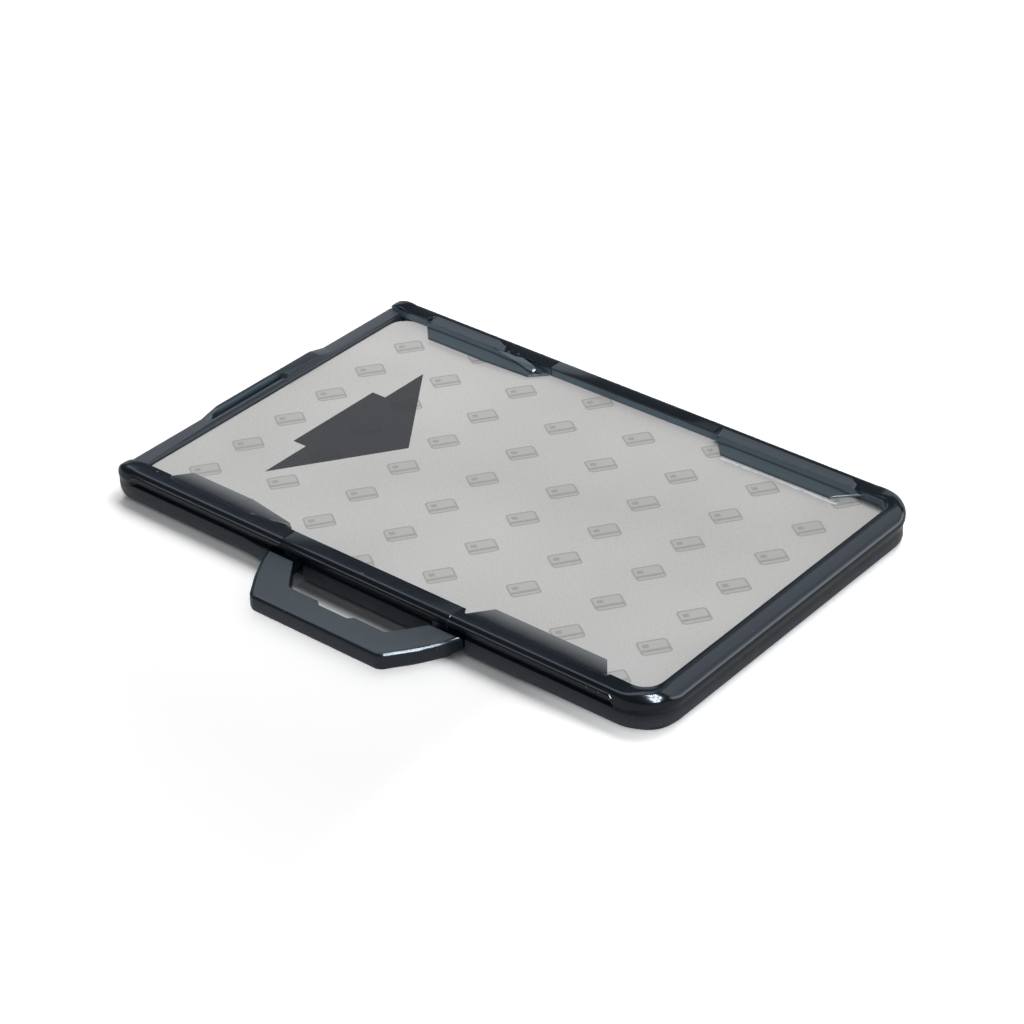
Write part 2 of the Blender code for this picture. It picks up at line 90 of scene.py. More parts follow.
def operator(operation: str, swapped: bool = False) -> Callable[..., "Value"]:
    """Method of Value that makes a Math node.

    Args:
        operation: the node's operation.
        swapped: whether the terms go in from the right, as a reflected operator needs.

    Returns:
        The method.
    """
    def method(self: "Value", *others: "Value | float") -> "Value":
        """Math node on this value and the others."""
        terms = (self, *others)
        return self.math(operation, *(terms[::-1] if swapped else terms))

    return method


class Value:
    """A shader number that grows Math nodes when it is used in an expression."""

    def __init__(self, graph: "Graph", socket: bpy.types.NodeSocket) -> None:
        """Wrap an output socket of a graph."""
        self.graph = graph
        self.socket = socket

    def math(self, operation: str, *terms: "Value | float", clamp: bool = False) -> "Value":
        """Math node on the given terms.

        Args:
            operation: the node's operation.
            terms: its inputs.
            clamp: whether the result is kept from 0 to 1.

        Returns:
            The result.
        """
        settings = {"operation": operation, "use_clamp": clamp}
        made = self.graph.node("ShaderNodeMath", settings, dict(enumerate(terms)))
        return Value(self.graph, made.outputs[0])

    __add__, __radd__ = operator("ADD"), operator("ADD", swapped=True)
    __sub__, __rsub__ = operator("SUBTRACT"), operator("SUBTRACT", swapped=True)
    __mul__, __rmul__ = operator("MULTIPLY"), operator("MULTIPLY", swapped=True)
    __truediv__ = operator("DIVIDE")
    __lt__, __gt__ = operator("LESS_THAN"), operator("GREATER_THAN")
    distance = operator("ABSOLUTE")
    root = operator("SQRT")
    part = operator("FRACT")
    whole = operator("FLOOR")
    most = operator("MAXIMUM")

    def odd(self) -> "Value":
        """One where this whole number is odd."""
        return self.math("MODULO", self.distance(), 2.0)

    def ramp(self, low: float, high: float) -> "Value":
        """Zero at low, one at high, even between them and clamped; high may be the lesser."""
        return self.math("MULTIPLY_ADD", self, 1 / (high - low), -low / (high - low), clamp=True)


class Pattern(Enum):
    """Noises of the finishes: cycles per metre, octaves and factors on the coordinates."""

    FLOW = (90, 2.0, (1, 1, 2.5))
    HANDLING = (420, 3.0, (1, 1, 1))
    FINE = (5200, 2.0, (1, 1, 1))
    DUSTY = (160, 2.0, (1, 1, 1))
    SHEET_GRAIN = (4200, 1.0, (1, 1, 1))
    SHEET_CLOUD = (38, 2.0, (1, 1, 1))
    SHEET_WAVES = (75, 1.0, (1.0, 0.45, 1.0))
    SHEET_CRUMPLE = (1500, 2.0, (0.5, 1.0, 1.0))
    ROLLING = (2400, 3.0, (0.04, 1.0, 1.0))
    LIP_CLOUD = (300, 2.0, (1, 1, 1))
    LIP_FINE = (3800, 2.0, (1, 1, 1))


class Graph:
    """Node tree that is written as expressions."""

    def __init__(self, tree: bpy.types.NodeTree) -> None:
        """Start from an emptied tree."""
        self.tree = tree
        tree.nodes.clear()

    def node(self, kind: str, settings: dict, sockets: dict) -> bpy.types.Node:
        """Make one node.

        Args:
            kind: the node's type.
            settings: properties, set first.
            sockets: values or links of its input sockets, by name or index.

        Returns:
            The new node.
        """
        made = self.tree.nodes.new(kind)
        for name, value in settings.items():
            setattr(made, name, value)
        for key, value in sockets.items():
            link = value.socket if isinstance(value, Value) else value
            if isinstance(link, bpy.types.NodeSocket):
                self.tree.links.new(link, made.inputs[key])
            else:
                made.inputs[key].default_value = value
        return made

    def place(self) -> bpy.types.NodeSocket:
        """Object coordinates."""
        return self.node("ShaderNodeTexCoord", {}, {}).outputs["Object"]

    def axes(self) -> tuple[Value, Value, Value]:
        """The three object coordinates as values."""
        split = self.node("ShaderNodeSeparateXYZ", {}, {0: self.place()})
        return tuple(Value(self, output) for output in split.outputs)

    def rays(self) -> tuple[Value, Value]:
        """What kind of ray looks.

        Returns:
            One for camera and transmission rays, and one for glossy rays.
        """
        path = self.node("ShaderNodeLightPath", {}, {}).outputs
        camera, through, gloss = (
            Value(self, path[f"Is {kind} Ray"]) for kind in ("Camera", "Transmission", "Glossy")
        )
        return camera.most(through), gloss

    def noise(self, pattern: Pattern) -> Value:
        """Noise over object coordinates.

        Args:
            pattern: which noise.

        Returns:
            Values round one half.
        """
        scale, detail, stretch = pattern.value
        mapped = self.node("ShaderNodeMapping", {}, {"Vector": self.place(), "Scale": stretch})
        sockets = {"Vector": mapped.outputs[0], "Scale": scale, "Detail": detail}
        return Value(self, self.node("ShaderNodeTexNoise", {}, sockets).outputs[0])

    def specks(self, cells: float = 520, share: float = 0.10, patch: float = 0.56) -> Value:
        """Scattered round specks, in patches.

        Args:
            cells: cells per metre, with one speck each.
            share: radius of a speck as a share of its cell.
            patch: level of the noise above which there are specks.

        Returns:
            One inside a speck.
        """
        dots = self.node("ShaderNodeTexVoronoi", {}, {"Vector": self.place(), "Scale": cells})
        inside = Value(self, dots.outputs["Distance"]) < share
        return inside * (self.noise(Pattern.DUSTY) > patch)

    def mix(
        self, factor: "Value | float", low: "Colour | bpy.types.NodeSocket",
        high: "Colour | bpy.types.NodeSocket",
    ) -> bpy.types.NodeSocket:
        """Colour between two colours or links.

        Args:
            factor: share of the second.
            low: first colour.
            high: second colour.

        Returns:
            The mixed colour's socket.
        """
        ends = {6: low, 7: high}
        for index, end in ends.items():
            if not isinstance(end, bpy.types.NodeSocket):
                ends[index] = (*end, 1.0)
        made = self.node("ShaderNodeMix", {"data_type": "RGBA"}, {0: factor} | ends)
        return made.outputs[2]

    def bump(
        self, height: Value, strength: float, distance: float = 0.02 * MM,
    ) -> bpy.types.NodeSocket:
        """Normal from a height."""
        sockets = {"Height": height, "Strength": strength, "Distance": distance}
        return self.node("ShaderNodeBump", {}, sockets).outputs[0]


def tint(*srgb: float) -> Colour:
    """Linear colour.

    Args:
        srgb: its red, green and blue as sRGB numbers from 0 to 255.

    Returns:
        The colour.
    """
    shares = [number / 255 for number in srgb]
    return tuple(
        share / 12.92 if share <= 0.04045 else ((share + 0.055) / 1.055) ** 2.4 for share in shares
    )


# ---------------------------------------------------------------- finishes


@dataclass(frozen=True)
class Finish:
    """A surface finish, made into a Principled material."""

    name: str
    metallic: float = 0.0

    def dress(self, graph: Graph) -> dict:
        """Sockets of the shader; a finish gives its own."""
        raise NotImplementedError

    @cache
    def material(self) -> bpy.types.Material:
        """Material of the finish, made at its first use.

        Returns:
            The material.
        """
        material = bpy.data.materials.new(self.name)
        material.use_nodes = True
        graph = Graph(material.node_tree)
        sockets = {"Metallic": self.metallic} | self.dress(graph)
        shader = graph.node("ShaderNodeBsdfPrincipled", {}, sockets)
        graph.node("ShaderNodeOutputMaterial", {}, {0: shader.outputs[0]})
        return material


@dataclass(frozen=True)
class DustyPlastic(Finish):
    """Plastic with fine handling marks and a little dust."""

    roughness: float = 0.16
    handling: float = 0.10
    grain: float = 0.02
    dust: float = 0.35
    dust_colour: Colour = tint(120, 124, 128)
    dust_roughness: float = 0.4

    def dusted(
        self, graph: Graph, colour: bpy.types.NodeSocket, marks: Value, height: Value,
        satin: "Value | float" = 0.0,
    ) -> dict:
        """Sockets of the shader with the dust on.

        Args:
            graph: the material's graph.
            colour: colour of the clean plastic.
            marks: noise of the handling marks.
            height: what the bump follows.
            satin: roughness added in places.

        Returns:
            The sockets.
        """
        specks = graph.specks() * self.dust
        roughness = self.roughness + satin + self.handling * (marks - 0.5)
        return {
            "Base Color": graph.mix(specks, colour, self.dust_colour),
            "Roughness": roughness + self.dust_roughness * specks,
            "Normal": graph.bump(height, self.grain),
        }


@dataclass(frozen=True)
class MouldedPlastic(DustyPlastic):
    """Moulded plastic with flow marks, more satin on one stretch of the near rail."""

    deep: Colour = tint(10, 19, 28)
    pale: Colour = tint(17, 29, 40)
    near_satin: float = 0.0
    near_y: tuple[float, float] = (-26.0 * MM, -27.2 * MM)
    near_x: tuple[float, float] = (36 * MM, 30 * MM)

    def dress(self, graph: Graph) -> dict:
        """Dress the plastic.

        Args:
            graph: the material's graph.

        Returns:
            The sockets.
        """
        flow = graph.noise(Pattern.FLOW)
        satin = 0.0
        if self.near_satin:
            x, y, _ = graph.axes()
            satin = self.near_satin * (y.ramp(*self.near_y) * x.ramp(*self.near_x))
        colour = graph.mix(flow, self.deep, self.pale)
        height = graph.noise(Pattern.FINE) + 2.0 * flow
        return self.dusted(graph, colour, graph.noise(Pattern.HANDLING), height, satin)


@dataclass(frozen=True)
class WallPlastic(DustyPlastic):
    """Satin outer wall, paler towards its foot with painted light from the white table."""

    roughness: float = 0.36
    grain: float = 0.16
    dust: float = 0.6
    dust_colour: Colour = tint(112, 116, 120)
    dust_roughness: float = 0.3
    upper: Colour = tint(38, 46, 54)
    foot: Colour = tint(92, 99, 107)
    foot_height: float = 0.4 * MM
    upper_height: float = 2.3 * MM
    waver: float = 0.5 * MM

    def dress(self, graph: Graph) -> dict:
        """Dress the plastic.

        Args:
            graph: the material's graph.

        Returns:
            The sockets.
        """
        _, _, z = graph.axes()
        marks = graph.noise(Pattern.HANDLING)
        # Painted light: the colour pales from the upper wall down to the foot, standing in for
        # light thrown up by the white table.
        height = (z + self.waver * (marks - 0.5)).ramp(self.foot_height, self.upper_height)
        colour = graph.mix(height, self.foot, self.upper)
        return self.dusted(graph, colour, marks, graph.noise(Pattern.FINE))


@dataclass(frozen=True)
class ShieldPrint(Finish):
    """Satin metallic sheet printed with small grey cards and a plain arrow."""

    metallic: float = 0.12
    arrow_metallic: float = 0.04
    dark: Colour = tint(176, 174, 171)
    pale: Colour = tint(232, 230, 227)
    ink: Colour = tint(150, 148, 144)
    arrow_ink: Colour = tint(42, 42, 45)
    pitch: tuple[float, float] = (10.4 * MM, 8.6 * MM)
    card: tuple[float, float] = (1.5 * MM, 0.95 * MM)
    card_round: float = 0.45 * MM
    card_turn: tuple[float, float] = (0.82, 0.57)
    card_shade: float = 0.38
    line: float = 0.12 * MM
    stripe_place: float = 0.62 * MM
    stripe_half: float = 0.26 * MM
    chip_place: tuple[float, float] = (-1.0 * MM, -0.42 * MM)
    chip_half: tuple[float, float] = (0.42 * MM, 0.36 * MM)
    arrow_apex: float = 24.5 * MM
    arrow_base: float = 13.0 * MM
    arrow_half: float = 16.8 * MM
    stem_start: float = 10.7 * MM
    stem_half: float = 8.4 * MM
    stem_lap: float = 0.1 * MM
    entry_x: float = -42.80 * MM
    # Strip by the far lip that carries a crumple bump and a painted glint.
    crumple_glint_y: float = 24.45 * MM
    crumple_glint_start: float = 17.0 * MM
    crumple_glint_end: float = 36.0 * MM
    crumple_glint_waver: float = 0.7 * MM
    crumple_glint_edges: tuple[float, float] = (0.30 * MM, 0.08 * MM)

    def cards(self, x: Value, y: Value) -> Value:
        """Small card outlines in a brick layout.

        Args:
            x: distance along the sheet.
            y: distance across it.

        Returns:
            Share of ink.
        """
        row, column = x / self.pitch[0], y / self.pitch[1]
        across = (column + 0.5 * row.whole().odd()).part() * self.pitch[1] - self.pitch[1] / 2
        along = row.part() * self.pitch[0] - self.pitch[0] / 2
        cosine, sine = self.card_turn
        u = cosine * across + sine * along
        v = cosine * along - sine * across
        over_u = (u.distance() - self.card[0]).most(0.0)
        over_v = (v.distance() - self.card[1]).most(0.0)
        edge = (over_u * over_u + over_v * over_v).root() - self.card_round
        outline = edge.distance().ramp(self.line * 1.5, self.line * 0.6)
        inside = edge < 0.0
        stripe = ((v - self.stripe_place).distance() < self.stripe_half) * inside
        chip_u, chip_v = (
            (axis - place).distance() < half
            for axis, place, half in zip((u, v), self.chip_place, self.chip_half)
        )
        return outline.most(stripe).most(chip_u * chip_v).most(self.card_shade * inside)

    def arrow(self, x: Value, y: Value) -> Value:
        """Plain arrow that points along the way a card goes in.

        Args:
            x: distance along the sheet.
            y: distance across it.

        Returns:
            One inside the arrow.
        """
        across = y.distance()
        along = x - self.entry_x
        slope = self.arrow_half / (self.arrow_apex - self.arrow_base)
        head = (along > self.arrow_base) * ((self.arrow_apex - along) * slope > across)
        stem = (along > self.stem_start) * (along < self.arrow_base + self.stem_lap)
        return head.most(stem * (across < self.stem_half))

    def dress(self, graph: Graph) -> dict:
        """Dress the printed sheet, with a painted glint on a crumpled strip by the far lip.

        Args:
            graph: the material's graph.

        Returns:
            The sockets.
        """
        x, y, _ = graph.axes()
        grain, cloud, waves, crumple = (graph.noise(pattern) for pattern in (
            Pattern.SHEET_GRAIN, Pattern.SHEET_CLOUD, Pattern.SHEET_WAVES, Pattern.SHEET_CRUMPLE,
        ))
        arrow = self.arrow(x, y)
        ground = graph.mix(0.55 * grain + 0.45 * cloud, self.dark, self.pale)
        inked = graph.mix(self.cards(x, y) * (0.5 + 0.9 * (grain - 0.3)), ground, self.ink)
        marked = graph.mix(arrow * (0.96 + 0.1 * (grain - 0.5)), inked, self.arrow_ink)
        # Painted highlight: a sparkly white glint along a crumpled strip by the far lip; the
        # strip's crumple bump is real.
        offset = y - self.crumple_glint_y + self.crumple_glint_waver * (crumple - 0.5)
        crumple_glint_band = offset.distance().ramp(*self.crumple_glint_edges)
        crumple_glint_band = crumple_glint_band * (x > self.crumple_glint_start) * (x < self.crumple_glint_end)
        glint = crumple_glint_band * crumple.ramp(0.30, 0.50)
        height = 0.02 * grain + waves + 0.25 * crumple_glint_band * crumple
        return {
            "Base Color": graph.mix(glint, marked, (1.0, 1.0, 1.0)),
            "Roughness": 0.42 + 0.12 * (grain - 0.5) + 0.06 * (cloud - 0.5),
            "Metallic": self.metallic - (self.metallic - self.arrow_metallic) * arrow,
            "Normal": graph.bump(height, 0.35, 0.12 * MM),
        }


@dataclass(frozen=True)
class RolledMetal(Finish):
    """Rolled sheet or strip, with its rolling lines."""

    metallic: float = 1.0
    dark: Colour = tint(150, 151, 153)
    light: Colour = tint(186, 187, 189)

    def dress(self, graph: Graph) -> dict:
        """Dress the metal.

        Args:
            graph: the material's graph.

        Returns:
            The sockets.
        """
        lines = graph.noise(Pattern.ROLLING)
        return {
            "Base Color": graph.mix(lines, self.dark, self.light),
            "Roughness": 0.26 + 0.16 * lines,
            "Normal": graph.bump(lines, 0.12),
        }


@dataclass(frozen=True)
class LipPlastic(Finish):
    """Thin see-through plastic, paler towards the free edge with painted light from the sheet
    below, darker at the root with painted shade, and with a painted shade line along its crease.
    """

    edge_colour: Colour = tint(77, 91, 99)
    root_colour: Colour = tint(66, 78, 86)
    crease_shade_colour: Colour = tint(24, 32, 40)
    edge_y: float = 24.0 * MM
    root_y: float = 27.3 * MM
    waver: float = 0.5 * MM
    crease_shade_y: float = 26.2 * MM
    crease_shade_edges: tuple[float, float] = (0.38 * MM, 0.08 * MM)
    crease_shade_strength: float = 0.8
    roughness: float = 0.20

    def dress(self, graph: Graph) -> dict:
        """Dress the plastic.

        Args:
            graph: the material's graph.

        Returns:
            The sockets.
        """
        _, y, _ = graph.axes()
        cloud = graph.noise(Pattern.LIP_CLOUD)
        reach = y.distance()
        # Painted light and shade: paler near the free edge where the lit sheet shows through,
        # darker towards the shaded root.
        painted_light_to_shade = (reach + self.waver * (cloud - 0.5)).ramp(self.edge_y, self.root_y)
        # Painted shade: a dark line along the crease of the lip's top, where its step is shaded.
        seam = (reach - self.crease_shade_y).distance().ramp(*self.crease_shade_edges) * self.crease_shade_strength
        body = graph.mix(painted_light_to_shade, self.edge_colour, self.root_colour)
        return {
            "Base Color": graph.mix(seam, body, self.crease_shade_colour),
            "Roughness": self.roughness + 0.12 * (cloud - 0.5),
            "Normal": graph.bump(graph.noise(Pattern.LIP_FINE) + cloud, 0.05),
        }


GLOSS = MouldedPlastic("glossy_blue_black_plastic", near_satin=0.07)
# Paler copy of the gloss plastic for inner walls and the strap slot: painted light standing in for
# light that comes through the thin smoky walls.
THIN_PAINTED_LIT = MouldedPlastic(
    "thin_smoky_plastic_painted_lit", roughness=0.20, dust=0.15,
    deep=tint(78, 98, 110), pale=tint(92, 112, 123),
)
WALL = WallPlastic("satin_wall_plastic")
LOOP = MouldedPlastic(
    "loop_plastic", roughness=0.20, deep=tint(26, 37, 47), pale=tint(35, 46, 56),
)
# Top faces of the loop: a rougher satin, which is real, and a paler colour, which is painted sheen
# of the overhead light.
LOOP_TOP_SATIN_SHEEN = MouldedPlastic(
    "satin_loop_plastic_painted_sheen", roughness=0.40, grain=0.2, dust=0.2,
    deep=tint(54, 61, 67), pale=tint(65, 73, 80),
)
TRAY = MouldedPlastic(
    "tray_plastic", roughness=0.34, grain=0.12, dust=0.4,
    deep=tint(67, 72, 79), pale=tint(78, 83, 90),
)
# Lip colours hold painted light from the sheet near the edge and painted shade at the root; the far
# lips also carry a painted shade line along their crease.
LIPS = {
    Side.NEAR: LipPlastic(
        "near_lip_plastic", edge_colour=tint(132, 135, 138), root_colour=tint(28, 36, 44),
        root_y=26.9 * MM, crease_shade_strength=0.0,
    ),
    Side.FAR: LipPlastic("far_lip_plastic"),
}
PRINT = ShieldPrint("satin_shield_print")
FOIL = RolledMetal("shield_foil")
STEEL = RolledMetal("spring_steel", dark=tint(120, 122, 126), light=tint(168, 170, 174))
RAIL_FINISHES = (GLOSS, THIN_PAINTED_LIT, WALL)


# ---------------------------------------------------------------- mesh making


@dataclass(frozen=True)
class Recess:
    """The card recess that every plan place is measured from, in millimetres."""

    length: float = 86.3
    width: float = 54.7
    radius: float = 3.2

    def outside(self, point: Vector) -> float:
        """Plan distance of a point outside the recess edge, in metres.

        Args:
            point: the point, in metres.

        Returns:
            The distance, less than zero inside.
        """
        over_x = abs(point.x) - (self.length * MM / 2 - self.radius * MM)
        over_y = abs(point.y) - (self.width * MM / 2 - self.radius * MM)
        reach = math.hypot(over_x, over_y) if over_x > 0 and over_y > 0 else max(over_x, over_y)
        return reach - self.radius * MM

    def place(self, along: float, side: Side, outside: float, height: float = 0.0) -> Vector:
        """Point in metres from its place along the recess and outside it.

        Args:
            along: distance from the insertion end.
            side: long side that it belongs to.
            outside: distance outside the recess edge.
            height: height above the back face.

        Returns:
            The point.
        """
        x = along - self.length / 2
        y = side.value * (self.width / 2 + outside)
        return Vector((x * MM, y * MM, height * MM))


RECESS = Recess()
LEAST_REACH = 0.006 * MM
LEVEL_GAP = 0.002 * MM


def rounded_plate(corners: Sequence[Corner], segments: int) -> bmesh.types.BMesh:
    """Mesh of one flat face on z = 0 whose corners are rounded by the bevel operator.

    Args:
        corners: (u, v, radius) corners in order, in metres; one of no radius stays.
        segments: segments of a rounded corner.

    Returns:
        The mesh.
    """
    mesh = bmesh.new()
    verts = [mesh.verts.new((u, v, 0.0)) for u, v, _ in corners]
    mesh.faces.new(verts)
    for index, (vert, (*place, radius)) in enumerate(zip(verts, corners)):
        if radius <= 0.0:
            continue
        here = Vector(place)
        back = Vector(corners[index - 1][:2]) - here
        ahead = Vector(corners[(index + 1) % len(corners)][:2]) - here
        reach = max(radius / math.tan(back.angle(ahead) / 2), LEAST_REACH)
        bmesh.ops.bevel(
            mesh, geom=[vert], offset=reach, offset_type="OFFSET", segments=segments,
            profile=0.5, affect="VERTICES", material=-1,
        )
    mesh.faces.ensure_lookup_table()
    return mesh


def outline_points(corners: Sequence[Corner], segments: int = 5) -> list[Vector]:
    """Points of a rounded outline, from its first corner, which has no radius.

    Args:
        corners: (u, v, radius) corners, in metres.
        segments: segments of a rounded corner.

    Returns:
        The points in the corners' order.
    """
    flat = rounded_plate(corners, segments)
    points = [vert.co.to_2d() for vert in flat.faces[0].verts]
    flat.free()
    first, second = (Vector(corner[:2]) for corner in corners[:2])
    start = min(range(len(points)), key=lambda index: (points[index] - first).length)
    points = points[start:] + points[:start]
    if (points[1] - second).length > (points[-1] - second).length:
        points = [points[0]] + points[:0:-1]
    return points


def slab(
    side: Side, corners: Iterable[Corner], low: float, high: float, segments: int = 6,
) -> bmesh.types.BMesh:
    """Closed mesh of a rounded plan outline raised from one height to another.

    Args:
        side: long side that the outline is measured from.
        corners: its (distance, outside, radius) corners.
        low: height of its foot.
        high: height of its top.
        segments: segments of a rounded corner.

    Returns:
        The mesh.
    """
    places = [(RECESS.place(along, side, outside), radius) for along, outside, radius in corners]
    mesh = rounded_plate([(place.x, place.y, radius * MM) for place, radius in places], segments)
    bmesh.ops.translate(mesh, verts=mesh.verts[:], vec=(0, 0, low * MM))
    grown = bmesh.ops.extrude_face_region(mesh, geom=mesh.faces[:])
    top = [item for item in grown["geom"] if isinstance(item, bmesh.types.BMVert)]
    bmesh.ops.translate(mesh, verts=top, vec=(0, 0, high * MM - low * MM))
    bmesh.ops.recalc_face_normals(mesh, faces=mesh.faces[:])
    return mesh


def block(
    side: Side, start: float, end: float, inner: float, outer: float, low: float, high: float,
) -> bmesh.types.BMesh:
    """Plain block between two distances along, two outside and two heights."""
    corners = [(start, inner, 0.0), (end, inner, 0.0), (end, outer, 0.0), (start, outer, 0.0)]
    return slab(side, corners, low, high)


def round_level(mesh: bmesh.types.BMesh, height: float, radius: float, segments: int) -> None:
    """Round the edges that lie at one height.

    Args:
        mesh: mesh that is changed.
        height: height of the edges.
        radius: radius of the round.
        segments: its segments.
    """
    edges = [
        edge for edge in mesh.edges
        if all(abs(end.co.z - height * MM) < LEVEL_GAP for end in edge.verts)
    ]
    bmesh.ops.bevel(
        mesh, geom=edges, offset=radius * MM, segments=segments, profile=0.5, affect="EDGES",
        clamp_overlap=True, material=-1,
    )


@dataclass(frozen=True)
class Station:
    """A place on a path, with the plan direction that points outwards from it."""

    point: Vector
    outward: Vector

    def lift(self, section_point: Vector) -> Vector:
        """Space point of a section's (outside, height) point."""
        return Vector((
            self.point.x + self.outward.x * section_point.x,
            self.point.y + self.outward.y * section_point.x,
            section_point.y,
        ))


Ring = tuple[Station, Sequence[Vector]]


def rail_ring(side: Side, along: float, section: Sequence[Vector]) -> Ring:
    """Section set across a long side at a distance along it."""
    return Station(RECESS.place(along, side, 0.0), side.outward), section


def carry(rings: Sequence[Ring]) -> bmesh.types.BMesh:
    """Closed mesh of a section carried from station to station.

    Args:
        rings: stations with their sections, which all have as many points.

    Returns:
        The mesh.
    """
    mesh = bmesh.new()
    station, section = rings[0]
    ring = [mesh.verts.new(station.lift(point)) for point in section]
    mesh.faces.new(ring)
    for station, section in rings[1:]:
        edges = [
            next(edge for edge in vert.link_edges if edge.other_vert(vert) is following)
            for vert, following in zip(ring, ring[1:] + ring[:1])
        ]
        grown = bmesh.ops.extrude_edge_only(mesh, edges=edges)
        fresh = {item for item in grown["geom"] if isinstance(item, bmesh.types.BMVert)}
        ring = [
            next(other for edge in vert.link_edges if (other := edge.other_vert(vert)) in fresh)
            for vert in ring
        ]
        for vert, point in zip(ring, section, strict=True):
            vert.co = station.lift(point)
    mesh.faces.new(ring)
    bmesh.ops.recalc_face_normals(mesh, faces=mesh.faces[:])
    return mesh


def loose_object(name: str, mesh: bmesh.types.BMesh) -> bpy.types.Object:
    """Object of a mesh.

    Args:
        name: the object's name.
        mesh: its mesh, which is freed.

    Returns:
        The object, in the scene.
    """
    data = bpy.data.meshes.new(name)
    mesh.to_mesh(data)
    mesh.free()
    made = bpy.data.objects.new(name, data)
    bpy.context.scene.collection.objects.link(made)
    return made


def merge(meshes: Iterable[bmesh.types.BMesh]) -> bmesh.types.BMesh:
    """One mesh that holds the shells of several.

    Args:
        meshes: the shells' meshes, which are freed.

    Returns:
        The mesh.
    """
    whole = bmesh.new()
    for mesh in meshes:
        data = bpy.data.meshes.new("shell")
        mesh.to_mesh(data)
        mesh.free()
        whole.from_mesh(data)
        bpy.data.meshes.remove(data)
    return whole


def in_order(mesh: bmesh.types.BMesh, restart: bool = False) -> bmesh.types.BMesh:
    """Same mesh with its vertices and faces in an order that is the same each run.

    The operators and the exact Boolean don't keep to one, and fine rounds follow it.

    Args:
        mesh: the mesh, which is freed.
        restart: whether each face starts again at its first vertex in that order, for a
            mesh whose faces don't keep their start either.

    Returns:
        The ordered mesh.
    """
    verts = sorted(mesh.verts, key=lambda vert: vert.co[:])
    rank = {vert: index for index, vert in enumerate(verts)}
    made = bmesh.new()
    fresh = [made.verts.new(vert.co) for vert in verts]
    for face in sorted(mesh.faces, key=lambda face: sorted(rank[vert] for vert in face.verts)):
        ring = [rank[vert] for vert in face.verts]
        start = ring.index(min(ring)) if restart else 0
        corners = [fresh[index] for index in ring[start:] + ring[:start]]
        made.faces.new(corners).material_index = face.material_index
    made.normal_update()
    mesh.free()
    return made


def cut(
    base: bmesh.types.BMesh, tools: Iterable[tuple[str, bmesh.types.BMesh]],
) -> bmesh.types.BMesh:
    """Join meshes to a base or cut them away, one after another.

    Args:
        base: mesh that is worked on; it is freed.
        tools: operation and mesh of each step; the meshes are freed.

    Returns:
        The new mesh.
    """
    worked = loose_object("worked", base)
    helpers = [worked]
    for operation, tool in tools:
        modifier = worked.modifiers.new("step", "BOOLEAN")
        modifier.operation = operation
        modifier.solver = "EXACT"
        modifier.object = loose_object("tool", tool)
        helpers.append(modifier.object)
    evaluated = worked.evaluated_get(bpy.context.evaluated_depsgraph_get())
    result = bmesh.new()
    result.from_mesh(evaluated.to_mesh())
    evaluated.to_mesh_clear()
    for data in [helper.data for helper in helpers]:
        bpy.data.meshes.remove(data)
    return in_order(result, restart=True)


@dataclass
class Piece:
    """A finished object with its body and its finishes.

    The first finish is the piece's own, and a face's material index picks another. A fine
    round is in millimetres, and is put on edges that turn by more than its angle.
    """

    name: str
    body: str
    finishes: Sequence[Finish]
    replaces_node: bool = True
    smooth_angle: float = 32.0
    fine_round: float = 0.0
    round_angle: float = 30.0
    shades: bool = True

    def build(self, mesh: bmesh.types.BMesh) -> None:
        """Make the object and set it on its body.

        Args:
            mesh: finished mesh in the frame's place; it is freed.
        """
        made = loose_object(self.name, in_order(mesh))
        for finish in self.finishes:
            made.data.materials.append(finish.material())
        made.data.shade_smooth()
        made.data.set_sharp_from_angle(angle=math.radians(self.smooth_angle))
        made.visible_shadow = self.shades
        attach(made, self.body)
        if self.replaces_node:
            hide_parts(self.name)
        if self.fine_round:
            modifier = made.modifiers.new("fine_round", "BEVEL")
            modifier.width = self.fine_round * MM
            modifier.segments = 2
            modifier.limit_method = "ANGLE"
            modifier.angle_limit = math.radians(self.round_angle)
        LOG.info("%s: %d faces on %s", self.name, len(made.data.polygons), self.body)


# ---------------------------------------------------------------- rails


@dataclass(frozen=True)
class SideSizes:
    """What differs between the long sides in the photograph, in millimetres."""

    cap_ridge: float
    cap_start: float
    cap_grown: float
    cap_turn: float
    bulge: float
    lip_lead: float
    entry_lip: tuple[float, float]
    closed_lip: tuple[float, float]
    finger_tip: float


SIZES = {
    Side.NEAR: SideSizes(
        cap_ridge=0.60, cap_start=5.9, cap_grown=7.4, cap_turn=77.6, bulge=0.5, lip_lead=2.5,
        entry_lip=(4.6, 17.7), closed_lip=(57.2, 79.9), finger_tip=25.4,
    ),
    Side.FAR: SideSizes(
        cap_ridge=1.40, cap_start=5.2, cap_grown=6.2, cap_turn=78.6, bulge=0.0, lip_lead=3.0,
        entry_lip=(5.2, 17.7), closed_lip=(57.3, 81.2), finger_tip=26.0,
    ),
}


def mixed(first: Sequence[Corner], second: Sequence[Corner], share: float) -> list[Corner]:
    """Corners part way from one list to another of as many."""
    return [
        tuple(a * (1 - share) + b * share for a, b in zip(one, other))
        for one, other in zip(first, second)
    ]


def section_points(corners: Iterable[Corner], segments: int = 5) -> list[Vector]:
    """Rounded section, in metres, from (outside, height, radius) corners in millimetres."""
    return outline_points([tuple(number * MM for number in corner) for corner in corners], segments)


def shrunk(section: Sequence[Vector], centre: tuple[float, float], share: float) -> list[Vector]:
    """Section drawn in towards a centre.

    Args:
        section: its points, in metres.
        centre: the (outside, height) centre.
        share: share of its size that is left.

    Returns:
        The points.
    """
    middle = Vector([number * MM for number in centre])
    return [
        Vector((middle.x + (point.x - middle.x) * share, middle.y + (point.y - middle.y) * share))
        for point in section
    ]


def ease(share: float) -> float:
    """Smooth step from 0 to 1."""
    share = min(1.0, max(0.0, share))
    return share * share * (3 - 2 * share)


